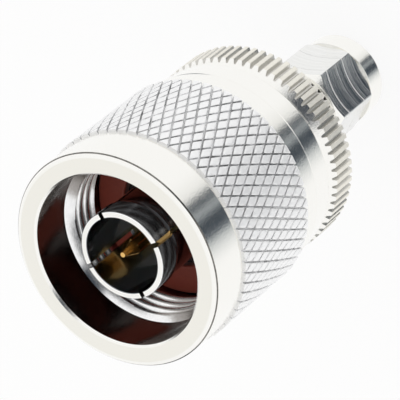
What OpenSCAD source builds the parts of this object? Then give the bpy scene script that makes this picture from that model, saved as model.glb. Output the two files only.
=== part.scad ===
// Coaxial adapter: type N plug at the top, SMA plug at the bottom.
// It stands on the mouth of its SMA coupling nut, with the axis along +Z.
// Both coupling nuts turn freely on the body, held by split rings.

/* [Overall] */
// Length from the mouth of the SMA nut to the mouth of the type N nut
overall_length = 40.2; // [39:0.1:48]

/* [Type N coupling nut] */
// Length of the nut
n_nut_length = 20.6; // [19.8:0.1:21.6]
// Diameter of the smooth band at the mouth
n_band_d = 20.5; // [20.2:0.1:22]
// Length of the smooth band at the mouth
n_band_length = 4.3; // [3:0.1:6]
// Diameter of the smooth band behind the knurl
n_rear_band_d = 20; // [19.4:0.1:20.6]
// Distance from the mouth to the end of the knurl
n_knurl_end = 15.3; // [13:0.1:16]
// Distance from the mouth to where the rear band starts to taper
n_taper_start = 17.6; // [16.5:0.1:18.5]
// Diameter at the rear edge of the nut
n_rear_edge_d = 18.2; // [17.4:0.1:19]
// Bore of the smooth lead-in
n_mouth_d = 16.4; // [16.1:0.1:17]
// Depth of the smooth lead-in
n_mouth_depth = 4.5; // [3:0.1:5]
// Distance from the mouth to the lip that bears on the split ring
n_lip_depth = 13.95; // [13.5:0.05:14.5]
// Crest diameter of the 5/8-24 coupling thread
n_thread_d = 14.9; // [14.6:0.05:15.1]
// Distance from the mouth to the last full turn of the thread
n_thread_end = 8.8; // [7.5:0.1:9.2]
// Diameter of the relief behind the thread
n_relief_d = 16.2; // [16:0.1:16.6]
// Bevel of the front outside edge, across the face
n_face_bevel = 0.45; // [0.1:0.05:0.8]

/* [Diamond knurl] */
// Diameter over the crests of the knurl
knurl_d = 21; // [20.8:0.1:22]
// Depth of the grooves
knurl_depth = 0.3; // [0.2:0.05:0.6]
// Diamonds around the nut
knurl_around = 62; // [40:1:70]
// Diamonds along the nut
knurl_rows = 5; // [3:1:6]
// Share of a diamond taken by its flat crest
knurl_crest = 0.7; // [0.4:0.05:0.8]
// Width of the turned groove at each end of the knurl
knurl_runout = 0.15; // [0.1:0.05:0.4]

/* [Type N contact sleeve] */
// Distance of the tip of the sleeve behind the mouth of the nut
n_sleeve_recess = 1.1; // [0.5:0.1:2]
// Outside diameter of the sleeve
n_sleeve_d = 8.38; // [8.2:0.02:8.5]
// Length of the band at the tip that touches the socket
n_contact_band_length = 2.2; // [1.5:0.1:3]
// Outside diameter behind that band, where the fingers are thinner
n_waist_d = 8.04; // [7.9:0.02:8.06]
// Bore of the sleeve
n_sleeve_bore = 7.26; // [7:0.02:7.4]
// Width of a slot
n_slot_width = 0.45; // [0.3:0.05:0.8]
// Length of a slot
n_slot_length = 6.8; // [4:0.1:7.5]
// Slots around the sleeve
n_slots = 4; // [2:2:6]
// Turn of the first slot from +X
n_slot_turn = 15; // [0:1:90]
// Distance from the mouth to the front face of the flange
n_flange_depth = 10.3; // [10:0.1:11]

/* [Toothed body] */
// Diameter over the teeth of the grip ring
ring_d = 19.8; // [19.4:0.1:21]
// Width of the grip ring
ring_width = 3.3; // [2.5:0.1:4]
// Depth of the grooves between the teeth
tooth_depth = 0.45; // [0.2:0.05:0.6]
// Teeth around the ring
teeth = 72; // [48:1:80]
// Share of the pitch taken by the flat top of a tooth
tooth_top = 0.3; // [0.15:0.05:0.5]
// Share of the pitch taken by the flat floor of a groove
tooth_floor = 0.2; // [0.1:0.05:0.4]
// Diameter of the flat front face of the grip ring
ring_face_d = 18; // [17:0.1:18.6]
// Bevel at the front of the grip ring
ring_front_bevel = 0.6; // [0.4:0.05:0.9]
// Bevel at the back of the grip ring
ring_rear_bevel = 0.25; // [0.1:0.05:0.4]
// Diameter of the neck between the grip ring and the SMA nut
neck_d = 7.8; // [7:0.1:8.4]

/* [Joint between sleeve and body] */
// Diameter of the spigot pressed into the back of the sleeve
spigot_d = 11.2; // [10.6:0.1:11.8]
// Length of the spigot
spigot_length = 3.8; // [3:0.1:4.2]

/* [Type N insulator] */
// Diameter of the insulator
n_bead_d = 9; // [8.6:0.1:9.4]
// Length of the insulator
n_bead_length = 5; // [4:0.1:5.4]

/* [Type N pin] */
// Distance of the tip of the pin behind the mouth of the nut
n_pin_recess = 1.2; // [0.8:0.1:2]
// Diameter of the pin
n_pin_d = 1.6; // [1.58:0.01:1.66]
// Diameter of the flat at the tip
n_pin_tip_d = 0.45; // [0.3:0.05:0.8]
// Length of the pin in front of its shank
n_pin_length = 5.4; // [4:0.1:6]
// Diameter of the shank
n_shank_d = 3.04; // [2.8:0.02:3.2]
// Diameter of the collar that holds the contact in its insulator
n_collar_d = 3.8; // [3.6:0.1:4.4]
// Thickness of that collar
n_collar_t = 0.8; // [0.5:0.1:1.2]

/* [SMA coupling nut] */
// Length of the nut
sma_nut_length = 8.5; // [8:0.1:9.5]
// Width across the flats of the hexagon
sma_flats = 8; // [7.9:0.05:8.5]
// Turn of the hexagon from +X
sma_hex_turn = 48; // [0:1:60]
// Diameter of the round collar at the mouth
sma_collar_d = 8.5; // [8.1:0.05:8.8]
// Length of the round collar
sma_collar_length = 2.3; // [1.5:0.1:3]
// Bore of the mouth
sma_mouth_d = 6.6; // [6.4:0.05:6.9]
// Depth of the smooth mouth
sma_mouth_depth = 0.8; // [0.5:0.1:1.2]
// Crest diameter of the 1/4-36 coupling thread
sma_thread_d = 5.7; // [5.6:0.05:5.8]
// Distance from the mouth to the last full turn of the thread
sma_thread_end = 4.4; // [3.6:0.1:4.6]
// Diameter of the relief behind the thread
sma_relief_d = 6.4; // [6.3:0.05:6.6]
// Slope of the bevel that trims the corners of the hexagon
sma_hex_bevel_angle = 40; // [20:1:50]

/* [SMA contacts] */
// Distance of the contact face behind the mouth of the nut
sma_face_depth = 2.6; // [2:0.1:3.2]
// Outside diameter of the outer contact
sma_tube_d = 4.6; // [4.5:0.02:4.7]
// Diameter of the insulator
sma_insulator_d = 4.1; // [4:0.02:4.2]
// Distance from the mouth to the shoulder behind the seal
sma_shoulder_depth = 4.9; // [4.8:0.1:5.1]
// Diameter of the pin
sma_pin_d = 0.92; // [0.9:0.01:0.94]
// Distance of the tip of the pin behind the mouth of the nut
sma_pin_recess = 0.7; // [0.4:0.1:1.5]
// Diameter of the shank of the pin
sma_shank_d = 1.27; // [1.2:0.01:1.3]
// Diameter of the tail seated in the type N contact
sma_tail_d = 0.9; // [0.7:0.05:1]
// Length of that tail
sma_tail_length = 3; // [2:0.1:4]
// Length of the land between the shoulder and the split ring
sma_land_length = 0.8; // [0.7:0.05:0.9]

/* [Split rings] */
// Thickness of the type N split ring
n_split_ring_t = 0.8; // [0.6:0.05:0.9]
// Width of its section
n_split_ring_w = 0.85; // [0.75:0.05:0.85]
// Thickness of the SMA split ring
sma_split_ring_t = 0.5; // [0.4:0.05:0.55]
// Width of its section
sma_split_ring_w = 0.4; // [0.35:0.05:0.4]
// Angle of the gap in a split ring
split_gap_angle = 24; // [12:1:40]

/* [Seals] */
// Thickness of the type N seal
n_seal_t = 0.9; // [0.7:0.1:1.1]
// Bore of the type N seal
n_seal_bore = 10.2; // [10:0.1:11.4]
// Thickness of the SMA seal
sma_seal_t = 0.6; // [0.4:0.05:0.8]

/* [Clearances] */
// Radial gap of a nut running on the body
running_gap = 0.08; // [0.05:0.01:0.1]
// Radial gap of a piece seated in another
seat_gap = 0.02; // [0.01:0.01:0.03]
// Gap between the ends of a nut and the body
end_gap = 0.25; // [0.15:0.05:0.4]
// How far a journal stays inside the thread crest that slides over it
pass_gap = 0.1; // [0.05:0.01:0.15]

/* [Hidden] */
$fn = 96;

nickel = [0.86, 0.85, 0.82];
gold = [0.86, 0.68, 0.32];
silicone = [0.49, 0.23, 0.18];
ptfe = [0.94, 0.94, 0.92];

// Small edge breaks and fit details
edge_break = 0.15;
mouth_bevel = 0.2;
axial_play = 0.05;
side_slack = 0.15;
squeeze_slack = 0.05;
seal_inset = 0.05;
seal_slack = 0.25;
rear_bevel = 0.3;
nose_slope = 1.6;
flare_slope = 3;
cut_extra = 1;

// Radii shared by the pieces that fit each other at the type N end
n_thread_r = n_thread_d / 2;
n_journal_r = n_thread_r - pass_gap;
n_rear_bore_r = n_journal_r + running_gap;
n_relief_r = n_relief_d / 2;
n_ring_outer_r = n_relief_r - side_slack;
n_ring_inner_r = n_ring_outer_r - n_split_ring_w;
// Squeezed into this groove, the split ring passes the thread crest
n_groove_r = n_thread_r - n_split_ring_w - squeeze_slack;
// Pressed in through the thread, the wider seal stays behind it
n_seal_r = n_relief_r - seal_slack;
knurl_root_r = knurl_d / 2 - knurl_depth;

// Heights of the type N end, from the mouth of the nut downwards
function below_mouth(depth) = overall_length - depth;
n_nut_end_z = below_mouth(n_nut_length);
ring_top_z = n_nut_end_z - end_gap;
ring_bottom_z = ring_top_z - ring_width;
n_flange_z = below_mouth(n_flange_depth);
n_lip_z = below_mouth(n_lip_depth);
n_split_ring_z = n_lip_z + axial_play;
knurl_top_z = below_mouth(n_band_length + knurl_runout);
knurl_bottom_z = below_mouth(n_knurl_end - knurl_runout);
spigot_top_z = ring_top_z + spigot_length;
n_bead_top_z = spigot_top_z + n_bead_length;

// Radii shared by the pieces that fit each other at the SMA end
sma_thread_r = sma_thread_d / 2;
sma_journal_r = sma_thread_r - pass_gap;
sma_rear_bore_r = sma_journal_r + running_gap;
sma_relief_r = sma_relief_d / 2;
sma_ring_outer_r = sma_relief_r - side_slack;
sma_ring_inner_r = sma_ring_outer_r - sma_split_ring_w;
sma_groove_r = sma_thread_r - sma_split_ring_w - squeeze_slack;
sma_seal_r = sma_journal_r - seal_inset;
sma_hex_corner_r = sma_flats / 2 / cos(30);

// Heights of the SMA end, from the mouth of its nut upwards
sma_split_ring_z = sma_shoulder_depth + sma_land_length + axial_play;
sma_lip_z = sma_split_ring_z + sma_split_ring_t + axial_play;
neck_bottom_z = sma_nut_length + end_gap;

// A flat ring with its lower face at z
module washer(z, height, outer_r, inner_r) {
    translate([0, 0, z])
        difference() {
            cylinder(h = height, r = outer_r);
            translate([0, 0, -cut_extra])
                cylinder(h = height + 2 * cut_extra, r = inner_r);
        }
}

// A ring of rectangular section with a gap, as sprung into a groove
module split_ring(z, height, outer_r, inner_r) {
    gap_width = 2 * outer_r * sin(split_gap_angle / 2);
    difference() {
        washer(z, height, outer_r, inner_r);
        translate([inner_r - cut_extra, -gap_width / 2, z - cut_extra])
            cube([outer_r, gap_width, height + 2 * cut_extra]);
    }
}

// Point of the knurl lattice: across in half diamonds around, up in half diamonds along
function knurl_point(across, up, r, half_length) =
    [r * cos(across * 180 / knurl_around), r * sin(across * 180 / knurl_around), up * half_length];

// Faces between two closed loops of the same length, seen from outside
function band_faces(lower, upper, count) =
    [for (i = [0 : count - 1]) each [
        [lower + i, upper + i, lower + (i + 1) % count],
        [lower + (i + 1) % count, upper + i, upper + (i + 1) % count]
    ]];

// Ring of crossed helical grooves that leave flat-topped diamonds.
// Groove crossings sit where across + up is even and diamonds where it is odd. The diamonds
// of the first and last row are cut in half by the ends of the ring.
module diamond_ring(height, outer_r, depth, inner_r) {
    n = knurl_around;
    last = 2 * knurl_rows;
    half_length = height / last;
    root_r = outer_r - depth;
    // Groove crossings, n to a level
    crossings = [for (up = [0 : last]) for (k = [0 : n - 1])
        knurl_point(2 * k + up % 2, up, root_r, half_length)];
    // Crest corners in the order left, lower, right, upper, for n diamonds to a level
    crests = [for (up = [0 : last]) for (k = [0 : n - 1])
        let (across = 2 * k + (up + 1) % 2)
        for (step = [[-1, 0], [0, -1], [1, 0], [0, 1]])
            knurl_point(across + step[0] * knurl_crest,
                        min(last, max(0, up + step[1] * knurl_crest)), outer_r, half_length)];
    inner = [for (up = [0, last]) for (k = [0 : n - 1])
        knurl_point(2 * k + up % 2, up, inner_r, half_length)];
    crest_start = len(crossings);
    inner_start = crest_start + len(crests);

    function crossing(k, up) = up * n + (k + n) % n;
    function crest(k, up, corner) = crest_start + 4 * (up * n + k) + corner;
    // Crossings left, right, below and above the diamond k of a level
    function left(k, up) = up % 2 == 0 ? crossing(k, up) : crossing(k - 1, up);
    function right(k, up) = up % 2 == 0 ? crossing(k + 1, up) : crossing(k, up);
    function below(k, up) = crossing(k, up - 1);
    function above(k, up) = crossing(k, up + 1);

    // Flanks of a diamond below its middle line
    function lower_flanks(k, up) = [
        [left(k, up), crest(k, up, 0), crest(k, up, 1)],
        [left(k, up), crest(k, up, 1), below(k, up)],
        [below(k, up), crest(k, up, 1), crest(k, up, 2)],
        [below(k, up), crest(k, up, 2), right(k, up)],
        [crest(k, up, 0), crest(k, up, 2), crest(k, up, 1)]
    ];
    // Flanks of a diamond above its middle line
    function upper_flanks(k, up) = [
        [left(k, up), above(k, up), crest(k, up, 3)],
        [left(k, up), crest(k, up, 3), crest(k, up, 0)],
        [right(k, up), crest(k, up, 3), above(k, up)],
        [right(k, up), crest(k, up, 2), crest(k, up, 3)],
        [crest(k, up, 0), crest(k, up, 3), crest(k, up, 2)]
    ];
    // End of a half diamond, in the plane of the ring's end
    lower_ends = [for (k = [0 : n - 1]) each [
        [left(k, 0), crest(k, 0, 2), crest(k, 0, 0)],
        [left(k, 0), right(k, 0), crest(k, 0, 2)]
    ]];
    upper_ends = [for (k = [0 : n - 1]) each [
        [left(k, last), crest(k, last, 0), crest(k, last, 2)],
        [left(k, last), crest(k, last, 2), right(k, last)]
    ]];
    flanks = [for (up = [0 : last]) for (k = [0 : n - 1]) each concat(
        up > 0 ? lower_flanks(k, up) : [],
        up < last ? upper_flanks(k, up) : [])];
    rims = concat(
        band_faces(inner_start, crossing(0, 0), n),
        band_faces(crossing(0, last), inner_start + n, n),
        band_faces(inner_start + n, inner_start, n));
    polyhedron(points = concat(crossings, crests, inner),
               faces = concat(flanks, lower_ends, upper_ends, rims), convexity = 4);
}

// Turned section of the type N coupling nut, as [radius, height]
module n_nut_section() {
    band_r = n_band_d / 2;
    root_r = knurl_root_r - edge_break;
    rear_r = n_rear_band_d / 2;
    rear_edge_r = n_rear_edge_d / 2;
    mouth_r = n_mouth_d / 2;
    polygon([
        [mouth_r + mouth_bevel, overall_length],
        [band_r - n_face_bevel, overall_length],
        [band_r, below_mouth(n_face_bevel / 2)],
        [band_r, below_mouth(n_band_length - edge_break)],
        [band_r - edge_break, below_mouth(n_band_length)],
        [root_r, below_mouth(n_band_length)],
        [root_r, below_mouth(n_knurl_end)],
        [rear_r - edge_break, below_mouth(n_knurl_end)],
        [rear_r, below_mouth(n_knurl_end + edge_break)],
        [rear_r, below_mouth(n_taper_start)],
        [rear_edge_r + rear_bevel, n_nut_end_z + rear_bevel],
        [rear_edge_r, n_nut_end_z],
        [n_rear_bore_r + mouth_bevel, n_nut_end_z],
        [n_rear_bore_r, n_nut_end_z + mouth_bevel],
        [n_rear_bore_r, n_lip_z],
        [n_relief_r, n_lip_z],
        [n_relief_r, below_mouth(n_thread_end + n_relief_r - n_thread_r)],
        [n_thread_r, below_mouth(n_thread_end)],
        [n_thread_r, below_mouth(n_mouth_depth + mouth_r - n_thread_r)],
        [mouth_r, below_mouth(n_mouth_depth)],
        [mouth_r, below_mouth(mouth_bevel)]
    ]);
}

// Type N coupling nut: turned inside and out, then knurled
module n_coupling_nut() {
    buried_r = knurl_root_r - 3 * edge_break;
    color(nickel)
        union() {
            rotate_extrude() n_nut_section();
            translate([0, 0, knurl_bottom_z])
                diamond_ring(knurl_top_z - knurl_bottom_z, knurl_d / 2, knurl_depth, buried_r);
        }
}

// Split ring that holds the type N nut on its sleeve
module n_split_ring() {
    color(nickel)
        split_ring(n_split_ring_z, n_split_ring_t, n_ring_outer_r, n_ring_inner_r);
}

// Flat silicone seal on the front face of the flange
module n_seal() {
    color(silicone)
        washer(n_flange_z, n_seal_t, n_seal_r, n_seal_bore / 2);
}

// Slotted sleeve, flange and journal of the type N end, turned in one piece
module n_outer_contact() {
    tip_z = below_mouth(n_sleeve_recess);
    sleeve_r = n_sleeve_d / 2;
    bore_r = n_sleeve_bore / 2;
    waist_r = n_waist_d / 2;
    band_z = tip_z - n_contact_band_length;
    groove_top_z = n_split_ring_z + n_split_ring_t + axial_play;
    groove_bottom_z = n_split_ring_z - axial_play;
    socket_r = spigot_d / 2 + seat_gap;
    pocket_r = n_bead_d / 2 + seat_gap;
    color(nickel)
        difference() {
            rotate_extrude()
                polygon([
                    [bore_r + edge_break / 2, tip_z],
                    [sleeve_r - edge_break / 2, tip_z],
                    [sleeve_r, tip_z - edge_break],
                    [sleeve_r, band_z],
                    [waist_r, band_z - flare_slope * (sleeve_r - waist_r)],
                    [waist_r, n_flange_z],
                    [n_journal_r, n_flange_z],
                    [n_journal_r, groove_top_z],
                    [n_groove_r, groove_top_z],
                    [n_groove_r, groove_bottom_z],
                    [n_journal_r, groove_bottom_z],
                    [n_journal_r, ring_top_z],
                    [socket_r, ring_top_z],
                    [socket_r, spigot_top_z],
                    [pocket_r, spigot_top_z],
                    [pocket_r, n_bead_top_z],
                    [bore_r, n_bead_top_z],
                    [bore_r, tip_z - edge_break]
                ]);
            for (i = [0 : n_slots / 2 - 1])
                rotate([0, 0, n_slot_turn + i * 360 / n_slots])
                    translate([-n_sleeve_d, -n_slot_width / 2, tip_z - n_slot_length])
                        cube([2 * n_sleeve_d, n_slot_width, n_slot_length + cut_extra]);
        }
}

// Insulator that centres the type N pin, with a pocket for the pin's collar
module n_insulator() {
    hole_r = n_shank_d / 2 + seat_gap;
    collar_r = n_collar_d / 2 + seat_gap;
    color(ptfe)
        rotate_extrude()
            polygon([
                [hole_r, n_bead_top_z],
                [n_bead_d / 2, n_bead_top_z],
                [n_bead_d / 2, spigot_top_z],
                [collar_r, spigot_top_z],
                [collar_r, spigot_top_z + n_collar_t],
                [hole_r, spigot_top_z + n_collar_t]
            ]);
}

// Type N pin with its shank, collar and the socket for the SMA pin's tail
module n_pin() {
    tip_z = below_mouth(n_pin_recess);
    pin_r = n_pin_d / 2;
    shank_r = n_shank_d / 2;
    shank_z = tip_z - n_pin_length;
    tip_r = n_pin_tip_d / 2;
    nose_length = nose_slope * (pin_r - tip_r);
    socket_r = sma_tail_d / 2 + seat_gap;
    socket_z = spigot_top_z + sma_tail_length;
    color(gold)
        rotate_extrude()
            polygon([
                [0, tip_z],
                [tip_r, tip_z],
                [pin_r, tip_z - nose_length],
                [pin_r, shank_z],
                [shank_r - edge_break, shank_z],
                [shank_r, shank_z - edge_break],
                [shank_r, spigot_top_z + n_collar_t],
                [n_collar_d / 2, spigot_top_z + n_collar_t],
                [n_collar_d / 2, spigot_top_z],
                [socket_r, spigot_top_z],
                [socket_r, socket_z],
                [0, socket_z]
            ]);
}

// Outline of the grip ring across the axis: flat-topped teeth with sloping flanks
module tooth_outline() {
    pitch = 360 / teeth;
    outer_r = ring_d / 2;
    root_r = outer_r - tooth_depth;
    half_top = tooth_top / 2;
    half_foot = (1 - tooth_floor) / 2;
    // Corners of a tooth, as [share of the pitch, radius]
    corners = [[-half_foot, root_r], [-half_top, outer_r], [half_top, outer_r], [half_foot, root_r]];
    polygon([for (i = [0 : teeth - 1]) for (corner = corners)
        let (a = (i + corner[0]) * pitch)
        [corner[1] * cos(a), corner[1] * sin(a)]]);
}

// Straight-toothed grip ring with bevelled ends
module grip_ring() {
    outer_r = ring_d / 2;
    face_r = ring_face_d / 2;
    cut_r = outer_r + cut_extra;
    bevel_slope = ring_front_bevel / (outer_r - face_r);
    intersection() {
        translate([0, 0, ring_bottom_z])
            linear_extrude(height = ring_width) tooth_outline();
        rotate_extrude()
            polygon([
                [0, ring_top_z],
                [face_r, ring_top_z],
                [cut_r, ring_top_z - bevel_slope * (cut_r - face_r)],
                [cut_r, ring_bottom_z + ring_rear_bevel + cut_extra],
                [outer_r - ring_rear_bevel, ring_bottom_z],
                [0, ring_bottom_z]
            ]);
    }
}

// Body: spigot, grip ring, neck, journal of the SMA nut and SMA outer contact
module toothed_body() {
    neck_r = neck_d / 2;
    tube_r = sma_tube_d / 2;
    groove_top_z = sma_split_ring_z + sma_split_ring_t + axial_play;
    groove_bottom_z = sma_split_ring_z - axial_play;
    neck_bevel = 0.5;
    color(nickel)
        difference() {
            union() {
                grip_ring();
                rotate_extrude()
                    polygon([
                        [0, spigot_top_z],
                        [spigot_d / 2, spigot_top_z],
                        [spigot_d / 2, ring_bottom_z + ring_width / 2],
                        [neck_r, ring_bottom_z + ring_width / 2],
                        [neck_r, neck_bottom_z + neck_bevel],
                        [neck_r - neck_bevel, neck_bottom_z],
                        [sma_journal_r, neck_bottom_z],
                        [sma_journal_r, groove_top_z],
                        [sma_groove_r, groove_top_z],
                        [sma_groove_r, groove_bottom_z],
                        [sma_journal_r, groove_bottom_z],
                        [sma_journal_r, sma_shoulder_depth],
                        [tube_r, sma_shoulder_depth],
                        [tube_r, sma_face_depth],
                        [0, sma_face_depth]
                    ]);
            }
            translate([0, 0, sma_face_depth - cut_extra])
                cylinder(h = spigot_top_z - sma_face_depth + 2 * cut_extra,
                         r = sma_insulator_d / 2 + seat_gap);
        }
}

// Long insulator of the SMA end, from the type N insulator to the SMA contact face
module sma_insulator() {
    color(ptfe)
        washer(sma_face_depth, spigot_top_z - sma_face_depth, sma_insulator_d / 2,
               sma_shank_d / 2 + seat_gap);
}

// SMA pin with its shank and the tail seated in the type N contact
module sma_pin() {
    pin_r = sma_pin_d / 2;
    shank_r = sma_shank_d / 2;
    tip_r = pin_r / 3;
    tail_r = sma_tail_d / 2;
    tail_top_z = spigot_top_z + sma_tail_length - axial_play;
    color(gold)
        rotate_extrude()
            polygon([
                [0, sma_pin_recess],
                [tip_r, sma_pin_recess],
                [pin_r, sma_pin_recess + nose_slope * (pin_r - tip_r)],
                [pin_r, sma_face_depth],
                [shank_r, sma_face_depth],
                [shank_r, spigot_top_z],
                [tail_r, spigot_top_z],
                [tail_r, tail_top_z],
                [0, tail_top_z]
            ]);
}

// Silicone seal around the SMA outer contact, against its shoulder
module sma_seal() {
    color(silicone)
        washer(sma_shoulder_depth - sma_seal_t, sma_seal_t, sma_seal_r,
               sma_tube_d / 2 + seat_gap);
}

// Split ring that holds the SMA nut on the body
module sma_split_ring() {
    color(nickel)
        split_ring(sma_split_ring_z, sma_split_ring_t, sma_ring_outer_r, sma_ring_inner_r);
}

// Outside of the SMA nut: hexagon with bevelled corners and a round collar
module sma_nut_blank() {
    collar_r = sma_collar_d / 2;
    corner_rise = (sma_hex_corner_r - sma_flats / 2) * tan(sma_hex_bevel_angle);
    collar_bevel = 0.35;
    union() {
        intersection() {
            rotate([0, 0, sma_hex_turn])
                cylinder(h = sma_nut_length, r = sma_hex_corner_r, $fn = 6);
            rotate_extrude()
                polygon([
                    [0, sma_collar_length],
                    [sma_flats / 2, sma_collar_length],
                    [sma_hex_corner_r, sma_collar_length + corner_rise],
                    [sma_hex_corner_r, sma_nut_length - corner_rise],
                    [sma_flats / 2, sma_nut_length],
                    [0, sma_nut_length]
                ]);
        }
        rotate_extrude()
            polygon([
                [0, 0],
                [collar_r - collar_bevel, 0],
                [collar_r, collar_bevel],
                [collar_r, sma_collar_length],
                [0, sma_collar_length]
            ]);
    }
}

// Turned hollow of the SMA nut, as [radius, height]
module sma_nut_hollow() {
    mouth_r = sma_mouth_d / 2;
    polygon([
        [0, -cut_extra],
        [mouth_r + mouth_bevel, -cut_extra],
        [mouth_r + mouth_bevel, 0],
        [mouth_r, mouth_bevel],
        [mouth_r, sma_mouth_depth],
        [sma_thread_r, sma_mouth_depth + mouth_r - sma_thread_r],
        [sma_thread_r, sma_thread_end],
        [sma_relief_r, sma_thread_end + sma_relief_r - sma_thread_r],
        [sma_relief_r, sma_lip_z],
        [sma_rear_bore_r, sma_lip_z],
        [sma_rear_bore_r, sma_nut_length + cut_extra],
        [0, sma_nut_length + cut_extra]
    ]);
}

// SMA coupling nut
module sma_coupling_nut() {
    color(nickel)
        difference() {
            sma_nut_blank();
            rotate_extrude() sma_nut_hollow();
        }
}

n_coupling_nut();
n_split_ring();
n_seal();
n_outer_contact();
n_insulator();
n_pin();
toothed_body();
sma_insulator();
sma_pin();
sma_seal();
sma_split_ring();
sma_coupling_nut();
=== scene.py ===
"""Looks of a coaxial adapter, type N plug to SMA plug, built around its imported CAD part.

Every visible piece is turned, knurled, toothed or milled here in mesh code from real sizes in
millimetres, rides on the CAD body it belongs to and stands for its CAD node.
"""

import logging
import math
import random
from dataclasses import dataclass
from enum import Enum
from functools import cache
from typing import Any, Callable

import bmesh
import bpy
from mathutils import Matrix, Vector


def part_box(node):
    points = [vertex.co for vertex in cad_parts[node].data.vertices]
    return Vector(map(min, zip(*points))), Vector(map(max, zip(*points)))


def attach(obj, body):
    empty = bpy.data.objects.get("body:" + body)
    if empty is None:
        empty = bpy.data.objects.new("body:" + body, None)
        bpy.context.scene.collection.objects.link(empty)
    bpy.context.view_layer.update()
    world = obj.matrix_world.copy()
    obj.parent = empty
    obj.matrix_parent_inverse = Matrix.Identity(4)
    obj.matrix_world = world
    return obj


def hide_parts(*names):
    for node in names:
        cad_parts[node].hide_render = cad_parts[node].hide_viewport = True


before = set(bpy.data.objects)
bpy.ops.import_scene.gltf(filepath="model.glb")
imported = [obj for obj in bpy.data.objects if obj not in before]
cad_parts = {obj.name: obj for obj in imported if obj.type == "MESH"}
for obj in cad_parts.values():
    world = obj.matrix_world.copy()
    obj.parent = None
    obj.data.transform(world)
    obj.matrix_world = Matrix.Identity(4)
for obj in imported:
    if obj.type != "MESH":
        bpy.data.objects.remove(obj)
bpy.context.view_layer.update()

logging.basicConfig(level=logging.INFO, format="%(message)s")
LOG = logging.getLogger("adapter")

MM = 0.001
FULL_TURN = 2 * math.pi
SAME_PLACE = 1e-6  # Places that are nearer to each other than this, in mm, are one
WHITE = "#FFFFFF"

Flat = tuple[float, float]
Point = tuple[float, float, float]
Ring = list[Point]


def linear(colour: str) -> tuple[float, float, float, float]:
    """Turns an sRGB hex colour to linear values.

    Args:
        colour: six hex digits after a hash sign.

    Returns:
        Linear red, green, blue and an alpha of 1.
    """
    parts = [int(colour[i : i + 2], 16) / 255 for i in (1, 3, 5)]
    r, g, b = (c / 12.92 if c <= 0.04045 else ((c + 0.055) / 1.055) ** 2.4 for c in parts)
    return r, g, b, 1.0


def add_node(tree: bpy.types.NodeTree, kind: str, inputs: dict[Any, Any], **settings: Any) -> bpy.types.Node:
    """Adds one shader node with its settings, values and links.

    Args:
        tree: the node tree that takes the node.
        kind: Blender's type name of the node.
        inputs: for each socket, by name or number, a value or the output socket that feeds it.
        settings: attributes of the node itself.

    Returns:
        The new node.
    """
    node = tree.nodes.new(kind)
    for name, value in settings.items():
        setattr(node, name, value)
    for key, value in inputs.items():
        if isinstance(value, bpy.types.NodeSocket):
            tree.links.new(value, node.inputs[key])
        else:
            node.inputs[key].default_value = value
    return node


def blank_tree(owner: bpy.types.Material | bpy.types.World) -> bpy.types.NodeTree:
    """Empties the node tree of a material or a world.

    Args:
        owner: the material or the world.

    Returns:
        Its node tree, with no nodes.
    """
    owner.use_nodes = True
    owner.node_tree.nodes.clear()
    return owner.node_tree


def per_metre(size_mm: float) -> float:
    """Repeats per metre of a pattern whose real spacing is size_mm."""
    return 1 / (size_mm * MM)


def polar(r: float, angle: float, z: float) -> Point:
    """Point at a radius and an angle round the axis."""
    return (r * math.cos(angle), r * math.sin(angle), z)


class Surface(Enum):
    """How the surface of a metal piece was made."""

    TURNED = "turned"
    MILLED = "milled"
    PLAIN = "plain"


# Band that nearly all values of a noise texture lie in
NOISE_LOW, NOISE_HIGH = 0.3, 0.7
# Share by which the roughness of a metal swings either way with its grain
ROUGHNESS_SWING = 0.2
# The cutter's path bends away from the middle of a flat as r squared over this length
MILLED_ARC_MM = 9.0
# That bend at the middle of a flat, which lies 4 mm from the axis
FLAT_BEND_MM = 4.0**2 / MILLED_ARC_MM
# Where the two deep lines of the cutter cross the middle of a flat, on that bent scale
MILLED_LINES_MM = (4.7 + FLAT_BEND_MM, 7.5 + FLAT_BEND_MM)
# Half-width of such a line, and what it adds to the roughness
DEEP_LINE_MM = 0.05
DEEP_LINE_ROUGHNESS = 0.6


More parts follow.
